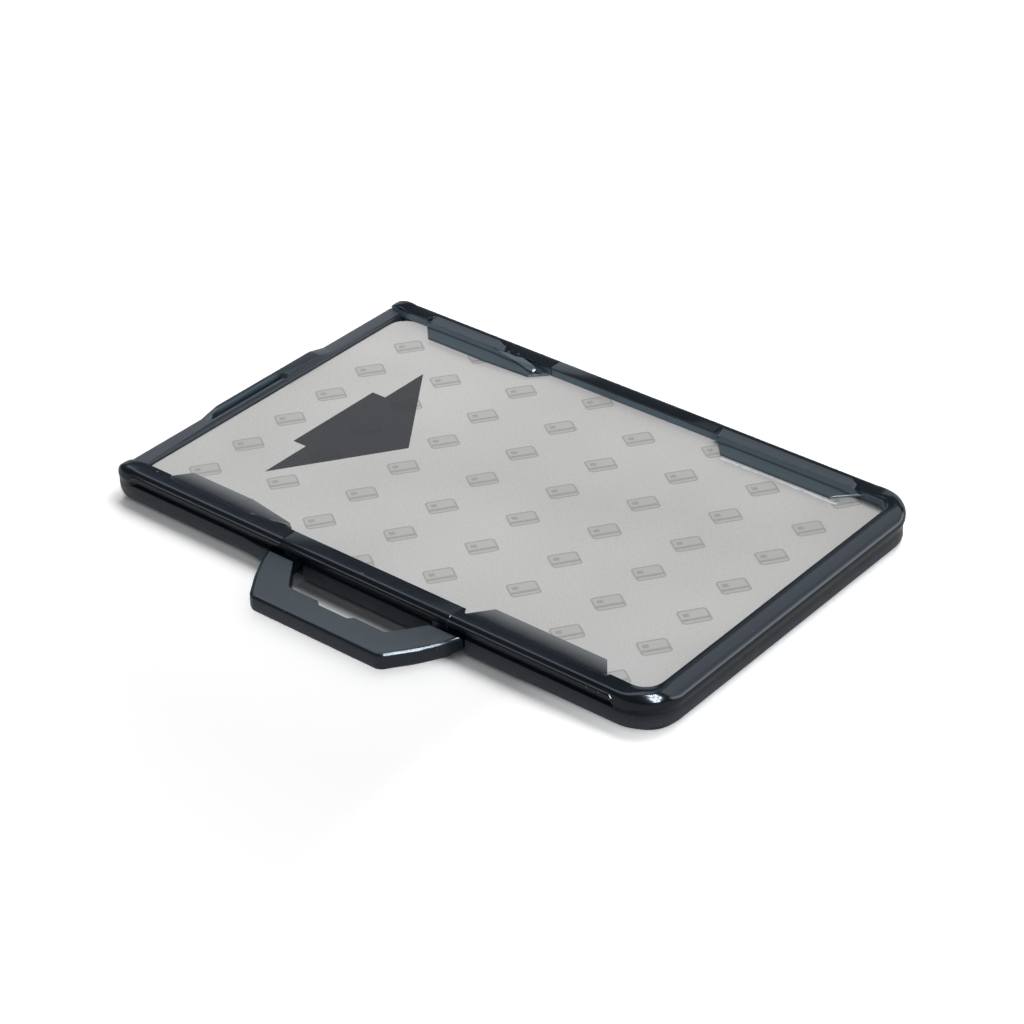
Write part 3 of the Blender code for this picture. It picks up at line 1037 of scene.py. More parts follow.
@dataclass
class RailShape:
    """Section of the long rails and of the closed end, in millimetres."""

    cap_ridge: float = 1.40
    foot: float = 1.2
    bead_foot: float = 3.5
    wall_outer: float = 2.55
    wall_inner: float = 2.06
    wall_foot: float = 0.28
    skirt_foot: float = 2.56
    skirt_thickness: float = 0.42
    rail_head: tuple[Corner, ...] = (
        (0.05, 4.70, 0.03), (-0.26, 4.80, 0.03), (-0.26, 5.03, 0.06), (0.35, 5.03, 0.03),
        (2.40, 5.03, 0.60),
    )
    cap_foot: Corner = (0.10, 4.28, 0.03)
    cap_low: Corner = (0.15, 4.40, 0.03)
    cap_least: float = 0.32
    cap_blend: float = 0.5
    corner_head: tuple[Corner, ...] = (
        (0.04, 4.55, 0.03), (0.03, 4.66, 0.03), (0.03, 5.22, 0.42), (1.05, 5.40, 0.50),
        (2.80, 5.40, 1.50),
    )
    end_head: tuple[Corner, ...] = (
        (0.04, 4.55, 0.03), (0.03, 4.70, 0.03), (0.03, 5.40, 0.33), (1.35, 5.40, 3.00),
        (2.80, 4.02, 0.80),
    )
    ribbed_side: tuple[Corner, ...] = (
        (2.50, 4.50, 0.10), (2.80, 4.40, 0.24), (2.78, 3.92, 0.22), (2.60, 3.45, 0.12),
        (2.00, 3.20, 0.20), (2.00, 2.86, 0.20), (2.55, 2.62, 0.14),
    )
    smooth_side: tuple[Corner, ...] = (
        (2.80, 3.62, 0.03), (2.79, 3.50, 0.05), (2.77, 3.36, 0.05), (2.73, 3.20, 0.05),
        (2.67, 2.96, 0.05), (2.62, 2.76, 0.05), (2.57, 2.50, 0.05),
    )

    def head(self, cap: float) -> list[Corner]:
        """Top of the rail, whose cap falls inwards from a ridge that moves out as it grows.

        Args:
            cap: share of the cap.

        Returns:
            (outside, height, radius) corners.
        """
        if cap <= 0.0:
            return list(self.rail_head)
        shoulder = self.rail_head[-1]
        ridge = self.cap_least + (self.cap_ridge - self.cap_least) * cap
        slope = (shoulder[1] - self.cap_low[1]) / (self.cap_ridge - self.cap_low[0])
        crest = (ridge, self.cap_low[1] + slope * (ridge - self.cap_low[0]), 0.02)
        full = [self.cap_foot, self.cap_low, crest, (ridge + 0.05, shoulder[1], 0.02), shoulder]
        return mixed(self.rail_head, full, min(1.0, cap / self.cap_blend))

    def section(
        self, cap: float = 0.0, bulge: float = 0.0, smooth: float = 0.0, rise: float = 0.0,
        turned: float = 0.0,
    ) -> list[Vector]:
        """Whole section.

        Args:
            cap: share of the lip's cap, whose top falls inwards.
            bulge: how far the lower wall stands out.
            smooth: share of the closed end's smooth side, which has no groove.
            rise: share of the corners' round, higher top.
            turned: share of the closed end's top, which falls gently outwards.

        Returns:
            Its points, in metres.
        """
        *side, (outside, height, radius) = mixed(self.ribbed_side, self.smooth_side, smooth)
        return section_points([
            (0.90, self.foot, 0.0),
            (0.90, self.bead_foot, 0.0),
            (0.05, self.bead_foot, 0.08),
            *mixed(mixed(self.head(cap), self.corner_head, rise), self.end_head, turned),
            *side,
            (outside + bulge, height, radius),
            (self.wall_outer + bulge, self.wall_foot, 0.5),
            (self.wall_inner, self.wall_foot, 0.05),
            (self.wall_inner, self.foot, 0.02),
        ])

    def bead(self, cap: float = 0.0, skirt: float = 1.6) -> list[Vector]:
        """Bead alone, with a skirt that hangs into the groove.

        Args:
            cap: share of the lip's cap.
            skirt: distance from the recess to the skirt's outer face.

        Returns:
            Its points, in metres.
        """
        inner = skirt - self.skirt_thickness
        return section_points([
            (inner, self.bead_foot, 0.0),
            (0.90, self.bead_foot, 0.0),
            (0.05, self.bead_foot, 0.08),
            *self.head(cap),
            *self.ribbed_side[:3],
            (2.60, 3.48, 0.12),
            (skirt, 3.34, 0.15),
            (skirt, self.skirt_foot, 0.08),
            (inner, self.skirt_foot, 0.08),
        ])


@dataclass(frozen=True)
class RailZones:
    """Where a rail's faces are thin, with painted light through them, or satin, in millimetres."""

    thin_outside: tuple[float, float] = (-1.0, 1.6)
    thin_top: float = 4.82
    thin_facing: float = -0.6
    satin_outside: float = 1.6
    satin_top: float = 2.62

    def finish_of(self, face: bmesh.types.BMFace, side: Side) -> Finish:
        """Finish that a face takes from one long side.

        Args:
            face: the face.
            side: the side.

        Returns:
            The finish.
        """
        centre = face.calc_center_median()
        outside = side.value * centre.y - RECESS.width * MM / 2
        inner, outer = (reach * MM for reach in self.thin_outside)
        inward = face.normal.y * side.value < self.thin_facing
        # Inward faces of the thin inner wall take the paler copy, painted light through the wall.
        if inward and inner < outside < outer and centre.z < self.thin_top * MM:
            return THIN_PAINTED_LIT
        low = centre.z < self.satin_top * MM
        return WALL if low and RECESS.outside(centre) > self.satin_outside * MM else GLOSS


def build_rail(
    name: str, body: str, side: Side | None, meshes: Iterable[bmesh.types.BMesh],
) -> None:
    """Make a rail's piece: gloss, with a paler thin inner wall carrying painted light, and a satin
    outer wall.

    Args:
        name: the piece's name.
        body: body that it rides on.
        side: its long side, or None where it has both.
        meshes: its shells.
    """
    mesh = merge(meshes)
    zones = RailZones()
    for face in mesh.faces:
        finishes = [zones.finish_of(face, marked) for marked in (Side if side is None else (side,))]
        chosen = next((finish for finish in finishes[::-1] if finish is not GLOSS), GLOSS)
        face.material_index = RAIL_FINISHES.index(chosen)
    Piece(name, body, RAIL_FINISHES, shades=side is not Side.FAR).build(mesh)


@dataclass
class EntryRail:
    """Rail from the insertion end to its seam, with its domed end and its lip's cap."""

    side: Side
    end: float = 28.32
    wall_end: float = 26.22
    middle: float = 12.0
    tip: float = -2.38
    dome: float = 2.5
    dome_centre: tuple[float, float] = (1.15, 3.55)
    dome_steps: int = 16
    dome_least: float = 0.05
    dome_fullness: float = 0.9
    dome_rise: float = 0.5
    groove_start: float = 0.35
    groove_full: float = 1.7
    groove_steps: int = 4
    cap_full: float = 17.7
    cap_end: float = 21.6
    cap_steps: int = 6
    bulge_start: float = 22.4
    bulge_full: float = 25.2

    def cap_at(self, along: float) -> float:
        """Share of the lip's cap.

        Args:
            along: distance along the rail.

        Returns:
            The share.
        """
        sizes = SIZES[self.side]
        grown = (along - sizes.cap_start) / (sizes.cap_grown - sizes.cap_start)
        return max(0.0, min(1.0, grown, (self.cap_end - along) / (self.cap_end - self.cap_full)))

    def bulge_at(self, along: float) -> float:
        """How far the lower wall stands out, at a distance along the rail."""
        share = (along - self.bulge_start) / (self.bulge_full - self.bulge_start)
        return SIZES[self.side].bulge * ease(share)

    def rings(self, shape: RailShape) -> list[Ring]:
        """Rings from the wall's end to the domed end.

        Args:
            shape: the rail's section.

        Returns:
            The rings.
        """
        start, grown = SIZES[self.side].cap_start, SIZES[self.side].cap_grown
        shares = [step / self.cap_steps for step in range(self.cap_steps)]
        alongs = {self.wall_end, self.cap_full, self.middle, self.groove_full, grown}
        alongs |= {self.cap_end - (self.cap_end - self.cap_full) * share for share in shares}
        alongs |= {start + (grown - start) * share for share in shares}
        made = [
            rail_ring(self.side, along, shape.section(self.cap_at(along), self.bulge_at(along)))
            for along in sorted(alongs, reverse=True)
        ]
        for step in range(1, self.groove_steps + 1):
            share = step / self.groove_steps
            along = self.groove_full + (self.groove_start - self.groove_full) * share
            section = shape.section(smooth=ease(share), rise=self.dome_rise * ease(share))
            made.append(rail_ring(self.side, along, section))
        filled = shape.section(smooth=1.0, rise=self.dome_rise)
        for step in range(1, self.dome_steps + 1):
            angle = math.pi / 2 * step / self.dome_steps
            along = self.tip + self.dome - self.dome * math.sin(angle)
            share = max(self.dome_least, math.cos(angle)) ** self.dome_fullness
            made.append(rail_ring(self.side, along, shrunk(filled, self.dome_centre, share)))
        return made

    def build(self) -> None:
        """Make the rail, whose bead alone reaches the seam."""
        shape = RailShape(SIZES[self.side].cap_ridge)
        bead = [
            rail_ring(self.side, along, shape.bead()) for along in (self.end, self.wall_end - 0.02)
        ]
        name = f"{self.side.word}_entry_rail"
        build_rail(name, "housing", self.side, [carry(self.rings(shape)), carry(bead)])


@dataclass
class FrontFrame:
    """Bead and wall round the closed end, back to the seams on both rails."""

    start: float = 56.88
    wall_start: float = 59.38
    middles: tuple[float, float] = (66.0, 72.0)
    cap_start: float = 57.35
    cap_run: float = 2.6
    cap_steps: int = 5
    rib_fade: float = 82.0
    fade_steps: int = 5
    corner_steps: int = 20
    corner_lift: float = 0.12
    corner_haste: float = 2.2
    turn_delay: float = 1.2
    gap: float = 0.05

    def cap_at(self, along: float, side: Side) -> float:
        """Share of the lip's cap.

        Args:
            along: distance along the rail.
            side: the rail's side.

        Returns:
            The share.
        """
        if along < self.cap_start:
            return 0.0
        return min(1.0, max(0.0, 1 - (along - SIZES[side].cap_turn) / self.cap_run))

    def side_rings(self, side: Side, shape: RailShape) -> list[Ring]:
        """Rings along one long rail and round its corner.

        Args:
            side: the rail's side.
            shape: its section.

        Returns:
            The rings.
        """
        turn = SIZES[side].cap_turn
        shares = [step / self.cap_steps for step in range(self.cap_steps + 1)]
        alongs = [self.wall_start, *self.middles, turn - self.gap]
        alongs += [turn + self.cap_run * share for share in shares]
        alongs += [turn + self.cap_run + self.gap, self.rib_fade]
        made = [rail_ring(side, along, shape.section(self.cap_at(along, side))) for along in alongs]
        corner = RECESS.length - RECESS.radius
        for step in range(1, self.fade_steps + 1):
            share = step / self.fade_steps
            along = self.rib_fade + (corner - 0.02 - self.rib_fade) * share
            section = shape.section(smooth=ease(share), rise=self.corner_lift * share)
            made.append(rail_ring(side, along, section))
        centre = RECESS.place(corner, side, -RECESS.radius)
        for step in range(self.corner_steps + 1):
            share = step / self.corner_steps
            angle = math.pi / 2 * share
            out = Vector((math.sin(angle), side.value * math.cos(angle), 0.0))
            hasty = share * self.corner_haste
            rise = self.corner_lift + (1 - self.corner_lift) * ease(hasty)
            section = shape.section(smooth=1.0, rise=rise, turned=ease(hasty - self.turn_delay))
            made.append((Station(centre + out * (RECESS.radius * MM), out), section))
        return made

    def bead(self, side: Side, shape: RailShape) -> bmesh.types.BMesh:
        """Bead between the seam and the place where the wall starts.

        Args:
            side: the rail's side.
            shape: its section.

        Returns:
            The mesh.
        """
        before, after = self.cap_start - 0.02, self.cap_start + self.gap
        return carry([
            rail_ring(side, along, shape.bead(self.cap_at(along, side)))
            for along in (self.start, before, after, self.wall_start + 0.02)
        ])

    def build(self) -> None:
        """Make the frame."""
        shapes = {side: RailShape(SIZES[side].cap_ridge) for side in Side}
        near, far = (self.side_rings(side, shape) for side, shape in shapes.items())
        beads = [self.bead(side, shape) for side, shape in shapes.items()]
        build_rail("front_frame", "housing", None, [carry(near + far[::-1]), *beads])


@dataclass
class SqueezeBar:
    """Middle stretch of a rail, which is pressed inwards."""

    side: Side
    start: float = 28.38
    end: float = 56.82
    end_round: float = 0.08
    plain_end: float = 8.0
    skirt: float = 2.05
    centre: tuple[float, float] = (1.3, 4.2)
    end_share: float = 0.95

    def build(self) -> None:
        """Make the bar."""
        section = RailShape(SIZES[self.side].cap_ridge).bead(skirt=self.skirt)
        small = shrunk(section, self.centre, self.end_share)
        mesh = carry([rail_ring(self.side, along, points) for along, points in (
            (self.start, small), (self.start + self.end_round, section),
            (self.start + self.plain_end, section), (self.end - self.plain_end, section),
            (self.end - self.end_round, section), (self.end, small),
        )])
        word = self.side.word
        build_rail(f"{word}_squeeze_bar", f"{word}_slider", self.side, [mesh])


# ---------------------------------------------------------------- lips


@dataclass
class LipShape:
    """Top form of one side's lips: a front band that falls to the edge and a back band."""

    side: Side
    low: float = 3.92
    edge: float = 4.30
    crest: float = 4.46
    back: float = 4.42
    front_band: float = 1.75
    back_band: float = 1.2
    reach: float = 3.3
    root: float = 4.0

    def plate(self, corners: Sequence[tuple[float, float]]) -> bmesh.types.BMesh:
        """Closed plate whose top is shaped by insets of its outline.

        Args:
            corners: (distance, outside) corners.

        Returns:
            The mesh.
        """
        mesh = bmesh.new()
        places = [RECESS.place(along, self.side, outside, self.low) for along, outside in corners]
        base = mesh.faces.new([mesh.verts.new(place) for place in places])
        if base.normal.z > 0:
            base.normal_flip()
        grown = bmesh.ops.extrude_face_region(mesh, geom=[base])
        top = next(item for item in grown["geom"] if isinstance(item, bmesh.types.BMFace))
        thickness = self.edge - self.low
        bmesh.ops.translate(mesh, verts=top.verts[:], vec=(0, 0, thickness * MM))
        bmesh.ops.recalc_face_normals(mesh, faces=mesh.faces[:])
        for width, rise in (
            (self.front_band, self.crest - self.edge), (self.back_band, self.back - self.crest),
        ):
            bmesh.ops.inset_region(
                mesh, faces=[top], thickness=width * MM, use_even_offset=True, use_boundary=True,
            )
            bmesh.ops.translate(mesh, verts=top.verts[:], vec=(0, 0, rise * MM))
        return mesh

    def clip(
        self, mesh: bmesh.types.BMesh, along: float, outside: float, outward: Vector,
    ) -> None:
        """Cut away what lies beyond an upright plane and close the cut.

        Args:
            mesh: mesh that is changed.
            along: distance to a point of the plane.
            outside: distance of the point outside the recess.
            outward: direction of what is cut away.
        """
        bmesh.ops.bisect_plane(
            mesh, geom=[*mesh.verts, *mesh.edges, *mesh.faces],
            plane_co=RECESS.place(along, self.side, outside), plane_no=outward, clear_outer=True,
        )
        open_edges = [edge for edge in mesh.edges if edge.is_boundary]
        bmesh.ops.edgenet_fill(mesh, edges=open_edges)
        bmesh.ops.recalc_face_normals(mesh, faces=mesh.faces[:])

    def finish(
        self, mesh: bmesh.types.BMesh, name: str, body: str, replaces_node: bool,
    ) -> None:
        """Make the piece with fine rounds; see-through, it casts no hard shadow."""
        Piece(
            name, body, (LIPS[self.side],), replaces_node, smooth_angle=12.0,
            fine_round=0.07, shades=False,
        ).build(mesh)


@dataclass
class Lip:
    """Lip over the card, with a slanted lead at one or both ends."""

    side: Side
    word: str
    start: float
    end: float
    lead_at_end: bool
    spare: float = 8.0
    lap: float = 0.3

    def build(self) -> None:
        """Make the lip."""
        shape = LipShape(self.side)
        lead = SIZES[self.side].lip_lead
        run_out = shape.root * lead / shape.reach
        corners = [(self.start - run_out, shape.root), (self.start + lead, -shape.reach)]
        if self.lead_at_end:
            corners += [(self.end - lead, -shape.reach), (self.end + run_out, shape.root)]
        else:
            beyond = self.end + self.spare
            corners += [(beyond, -shape.reach), (beyond, shape.root)]
        mesh = shape.plate(corners)
        shape.clip(mesh, 0.0, self.lap, self.side.outward)
        if not self.lead_at_end:
            shape.clip(mesh, self.end, 0.0, Vector((1, 0, 0)))
        shape.finish(mesh, f"{self.side.word}_{self.word}_lip", "housing", False)


@dataclass
class CardFinger:
    """Sprung end of the entry lip, sloping down to hold the card."""

    side: Side
    start: float = 17.76
    root: float = 18.0
    tip_reach: float = 2.45
    tail: float = 27.9
    drop: float = 0.35
    back: float = 9.0
    lap: float = 0.3
    gap: float = 0.08
    tongue_low: float = 4.28
    tongue_fall: float = 0.52
    tongue_rings: tuple[tuple[float, float, float, float], ...] = (
        (18.7, -0.10, 0.12, 4.50), (21.3, -0.10, 0.64, 4.86), (23.2, -0.16, 1.02, 5.16),
        (25.7, -0.80, 0.96, 5.16), (26.2, -0.92, 0.80, 5.06), (26.5, -1.10, 0.45, 4.80),
    )

    def tongue(self) -> bmesh.types.BMesh:
        """Raised tongue on the finger, which carries the rail's cap on and falls inwards.

        Returns:
            The mesh, from rings of (distance, outside, width, height).
        """
        rings = []
        for along, outer, width, top in self.tongue_rings:
            inner = outer - width
            section = section_points([
                (outer, self.tongue_low, 0.0), (outer, top, 0.04),
                (inner, top - self.tongue_fall * width, 0.04), (inner, self.tongue_low, 0.0),
            ], 4)
            rings.append(rail_ring(self.side, along, section))
        return carry(rings)

    def build(self) -> None:
        """Make the finger."""
        shape = LipShape(self.side)
        tip = SIZES[self.side].finger_tip
        along_tail = (self.tail - tip) / (self.tip_reach - self.lap)
        per_run = (shape.reach - self.tip_reach) / (tip - self.root)
        mesh = shape.plate([
            (self.root - self.back, shape.root),
            (self.root - self.back, -shape.reach - per_run * self.back),
            (tip, -self.tip_reach),
            (self.tail + along_tail * (shape.root + self.lap), shape.root),
        ])
        shape.clip(mesh, 0.0, -self.gap, self.side.outward)
        shape.clip(mesh, self.start, 0.0, Vector((-1, 0, 0)))
        mesh = merge([mesh, self.tongue()])
        fall = self.drop / (tip - self.root)
        slant = Matrix.Identity(4)
        slant[2][0] = -fall
        slant[2][3] = fall * RECESS.place(self.root, self.side, 0.0).x
        bmesh.ops.transform(mesh, matrix=slant, verts=mesh.verts[:])
        word = self.side.word
        shape.finish(mesh, f"{word}_card_finger", f"{word}_finger", True)


# ---------------------------------------------------------------- loop


@dataclass
class SideLoop:
    """Hanging loop with its arms, slide plate and pegs, in millimetres."""

    centre: float = 42.8
    low: float = 0.7
    top: float = 3.2
    edge_round: float = 0.50
    root: float = 2.9
    start: float = 26.3
    end: float = 59.3
    shoulders: tuple[Corner, ...] = (
        (27.35, 5.35, 7.0), (29.1, 8.6, 9.0), (31.7, 12.5, 1.7),
        (53.6, 12.5, 1.6), (56.7, 8.3, 12.0), (58.35, 5.35, 9.0),
    )
    hole_root_half: float = 12.0
    hole_end_half: float = 8.2
    hole_reach: float = 8.1
    notch_half: float = 2.4
    notch_slope: float = 0.7
    notch_depth: float = 0.65
    spare: float = 1.0
    heel_reach: float = 1.4
    slide_low: float = 1.2
    slide_top: float = 2.1
    slide_outline: tuple[tuple[float, float], ...] = (
        (26.5, 3.6), (31.15, 3.6), (31.15, 0.9), (54.05, 0.9), (54.05, 3.6), (59.1, 3.6),
        (59.1, -3.5), (26.5, -3.5),
    )
    peg_starts: tuple[float, float] = (28.95, 54.05)
    peg_length: float = 2.2
    peg_outside: tuple[float, float] = (1.9, 2.5)
    peg_lap: float = 0.3
    peg_top: float = 3.3
    flat_facing: float = 0.97
    flat_depth: float = 0.01

    def handle(self) -> bmesh.types.BMesh:
        """Solid outline of the loop with rounded top and bottom edges.

        Returns:
            The mesh.
        """
        ends = (self.start, self.root, 0.0), (self.end, self.root, 0.0)
        mesh = slab(Side.NEAR, [ends[0], *self.shoulders, ends[1]], self.low, self.top, 7)
        round_level(mesh, self.top, self.edge_round, 5)
        round_level(mesh, self.low, self.edge_round, 4)
        return mesh

    def hole(self) -> bmesh.types.BMesh:
        """Cutter for the hole with its notch, the same on both halves.

        Returns:
            The mesh.
        """
        splay = (self.hole_root_half - self.hole_end_half) / (self.hole_reach - self.root)
        half = [
            (self.hole_root_half + splay * self.spare, self.root - self.spare, 0.0),
            (self.hole_end_half, self.hole_reach, 1.0),
            (self.notch_half + self.notch_slope, self.hole_reach, 0.25),
            (self.notch_half, self.hole_reach + self.notch_depth, 0.25),
        ]
        outline = [(self.centre - reach, outside, radius) for reach, outside, radius in half]
        outline += [(self.centre + reach, outside, radius) for reach, outside, radius in half[::-1]]
        return slab(Side.NEAR, outline, self.low - self.spare, self.top + self.spare, 5)

    def build(self) -> None:
        """Make the loop, its slide under the shield and the pegs that carry the squeeze bar."""
        heel = block(
            Side.NEAR, self.start - self.spare, self.end + self.spare, self.root - self.spare,
            self.root + self.heel_reach, self.low - self.spare, self.slide_low,
        )
        outline = [(along, outside, 0.0) for along, outside in self.slide_outline]
        slide = slab(Side.NEAR, outline, self.slide_low, self.slide_top)
        pegs = [
            block(
                Side.NEAR, start, start + self.peg_length, *self.peg_outside,
                self.slide_top - self.peg_lap, self.peg_top,
            )
            for start in self.peg_starts
        ]
        mesh = cut(self.handle(), [
            ("DIFFERENCE", self.hole()), ("DIFFERENCE", heel), ("UNION", slide),
            *(("UNION", peg) for peg in pegs),
        ])
        finishes = (LOOP, LOOP_TOP_SATIN_SHEEN)
        # Upward faces at the top take the satin copy with its painted sheen.
        for face in mesh.faces:
            high = face.calc_center_median().z > (self.top - self.flat_depth) * MM
            if high and face.normal.z > self.flat_facing:
                face.material_index = finishes.index(LOOP_TOP_SATIN_SHEEN)
        Piece(
            "side_loop", "near_slider", finishes, fine_round=0.10, round_angle=50.0, shades=False,
        ).build(mesh)


# ---------------------------------------------------------------- tray


@dataclass
class RearShell:
    """Back panel with its end rim, strap bar, ledges, middle walls and stop ribs, in millimetres.

    A row of the bar's profile gives its distance from the middle, its rise over the bar's
    plain top and the places of its step and its ledge. A row of the blocks gives two
    distances along, two outside and two heights.
    """

    entry: float = -2.4
    panel_outer: float = 2.0
    panel_end: float = 88.7
    panel: float = 0.9
    entry_round: float = 2.2
    end_round: float = 4.5
    foot_round: float = 0.8
    rim: float = 1.1
    rim_height: float = 2.2
    wall_height: float = 2.6
    beyond: float = 3.0
    clear_height: float = 6.0
    bar_top: float = 3.95
    hump: float = 0.7
    ledge_drop: float = 0.14
    bar_gap: float = 0.04
    bar_profile: tuple[tuple[float, float, float, float], ...] = (
        (27.85, 0.0, -0.50, -0.12), (24.5, 0.0, -0.50, -0.12), (12.9, 0.0, -1.20, -0.60),
        (12.5, 0.05, -1.25, -0.60), (10.0, 0.64, -1.55, -0.60), (9.6, 0.70, -1.60, -0.60),
        (-2.6, 0.70, -1.60, -0.60), (-3.1, 0.70, -0.34, -0.22), (-9.7, 0.70, -0.34, -0.22),
        (-10.1, 0.65, -0.34, -0.22), (-12.6, 0.05, -0.40, -0.12), (-12.9, 0.0, -0.50, -0.12),
        (-27.85, 0.0, -0.50, -0.12),
    )
    slot_outline: tuple[Corner, ...] = (
        (-1.58, -30.2, 0.12), (-1.58, -16.2, 0.12), (-0.98, -15.2, 0.12), (-0.98, -30.0, 0.12),
    )
    slot_half: float = 16.0
    slot_margin: float = 0.1
    upright: float = 0.5
    facing: float = 0.6
    bar_end: float = 0.1
    bar_foot: float = 3.0
    hump_share: float = 0.6
    level: float = 0.9
    ledge_margin: float = 0.08
    wall_outside: float = 0.9
    blocks: tuple[tuple[float, ...], ...] = (
        (0.15, 26.2, -0.8, 0.6, 0.45, 2.1), (59.4, 84.0, -0.8, 0.6, 0.45, 2.1),
        (32.0, 53.6, 1.2, 2.4, 0.30, 2.45), (26.5, 59.1, -7.5, -6.5, 0.45, 2.1),
    )

    def tray(self) -> bmesh.types.BMesh:
        """Panel with rounded corners, full height at first.

        Returns:
            The mesh.
        """
        far = -RECESS.width - self.panel_outer
        mesh = slab(Side.NEAR, [
            (self.entry, self.panel_outer, self.entry_round),
            (self.panel_end, self.panel_outer, self.end_round),
            (self.panel_end, far, self.end_round), (self.entry, far, self.entry_round),
        ], 0.0, self.rim_height, 10)
        round_level(mesh, 0.0, self.foot_round, 5)
        return mesh

    def strap_bar(self) -> bmesh.types.BMesh:
        """Bar across the insertion end, with a hump round its slot.

        Returns:
            The mesh.
        """
        plain, middle = self.bar_top, self.panel / 2
        low = plain - self.ledge_drop
        rings = []
        for reach, rise, step, ledge in self.bar_profile:
            section = section_points([
                (self.entry, middle, 0.0), (self.entry, plain + rise, 0.30),
                (step - 0.06, plain + rise, 0.05), (step, plain, 0.02), (ledge, plain, 0.04),
                (ledge + 0.03, low, 0.01), (-self.bar_gap, low, 0.03), (-self.bar_gap, middle, 0.0),
            ], 4)
            point = RECESS.place(0.0, Side.NEAR, reach - RECESS.width / 2)
            rings.append((Station(point, Vector((1, 0, 0))), section))
        return carry(rings)

    def finish_of(self, face: bmesh.types.BMFace) -> Finish:
        """Finish that a face takes.

        Args:
            face: face of the whole shell.

        Returns:
            The finish: satin on the outer walls and the bar, thin with painted light in the slot.
        """
        centre, normal = face.calc_center_median(), face.normal
        along = centre.x + RECESS.length * MM / 2
        slot_outer, slot_inner = self.slot_outline[0][0], self.slot_outline[-1][0]
        in_slot = (slot_outer - self.slot_margin) * MM < along < slot_inner * MM
        upright = centre.z > self.panel * MM and abs(normal.z) < self.upright
        if in_slot and upright and abs(centre.y) < self.slot_half * MM:
            return THIN_PAINTED_LIT
        at_end = along < self.bar_end * MM and centre.z > self.bar_foot * MM
        crest = self.bar_top + self.hump_share * self.hump
        on_hump = centre.z > crest * MM or normal.x > self.facing
        on_ledge = normal.z > self.level and centre.z < (self.bar_top - self.ledge_margin) * MM
        if at_end and (on_hump or on_ledge):
            return WALL
        outer = abs(centre.y) > (RECESS.width / 2 + self.wall_outside) * MM
        return WALL if outer and self.panel * MM < centre.z < self.wall_height * MM else TRAY

    def build(self) -> None:
        """Make the shell."""
        inside = block(
            Side.NEAR, self.entry + self.rim, self.panel_end + 1.0, self.beyond,
            -RECESS.width - self.beyond, self.panel, self.clear_height,
        )
        slot = slab(Side.NEAR, self.slot_outline, -1.0, self.clear_height, 4)
        mesh = cut(self.tray(), [
            ("DIFFERENCE", inside), ("UNION", self.strap_bar()), ("DIFFERENCE", slot),
            *(("UNION", block(side, *row)) for side in Side for row in self.blocks),
        ])
        finishes = (TRAY, WALL, THIN_PAINTED_LIT)
        for face in mesh.faces:
            face.material_index = finishes.index(self.finish_of(face))
        Piece(
            "rear_shell", "housing", finishes, smooth_angle=30.0, fine_round=0.08, round_angle=40.0,
        ).build(mesh)


# ---------------------------------------------------------------- holder


def carry_over(node: str, finish: Finish) -> None:
    """Dress a CAD piece whose shape stays.

    Args:
        node: the piece's node.
        finish: its finish.
    """
    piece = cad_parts[node]
    piece.data.materials.clear()
    piece.data.materials.append(finish.material())
    LOG.info("%s keeps its shape", node)


def build_holder() -> None:
    """Build every piece of the holder."""
    carry_over("shield_sheet", PRINT)
    carry_over("shield_core", FOIL)
    carry_over("far_slide_plate", TRAY)
    carry_over("near_return_spring", STEEL)
    carry_over("far_return_spring", STEEL)
    RearShell().build()
    FrontFrame().build()
    SideLoop().build()
    for side in Side:
        EntryRail(side).build()
        SqueezeBar(side).build()
        Lip(side, "entry", *SIZES[side].entry_lip, lead_at_end=False).build()
        Lip(side, "closed", *SIZES[side].closed_lip, lead_at_end=True).build()
        CardFinger(side).build()


# ---------------------------------------------------------------- studio


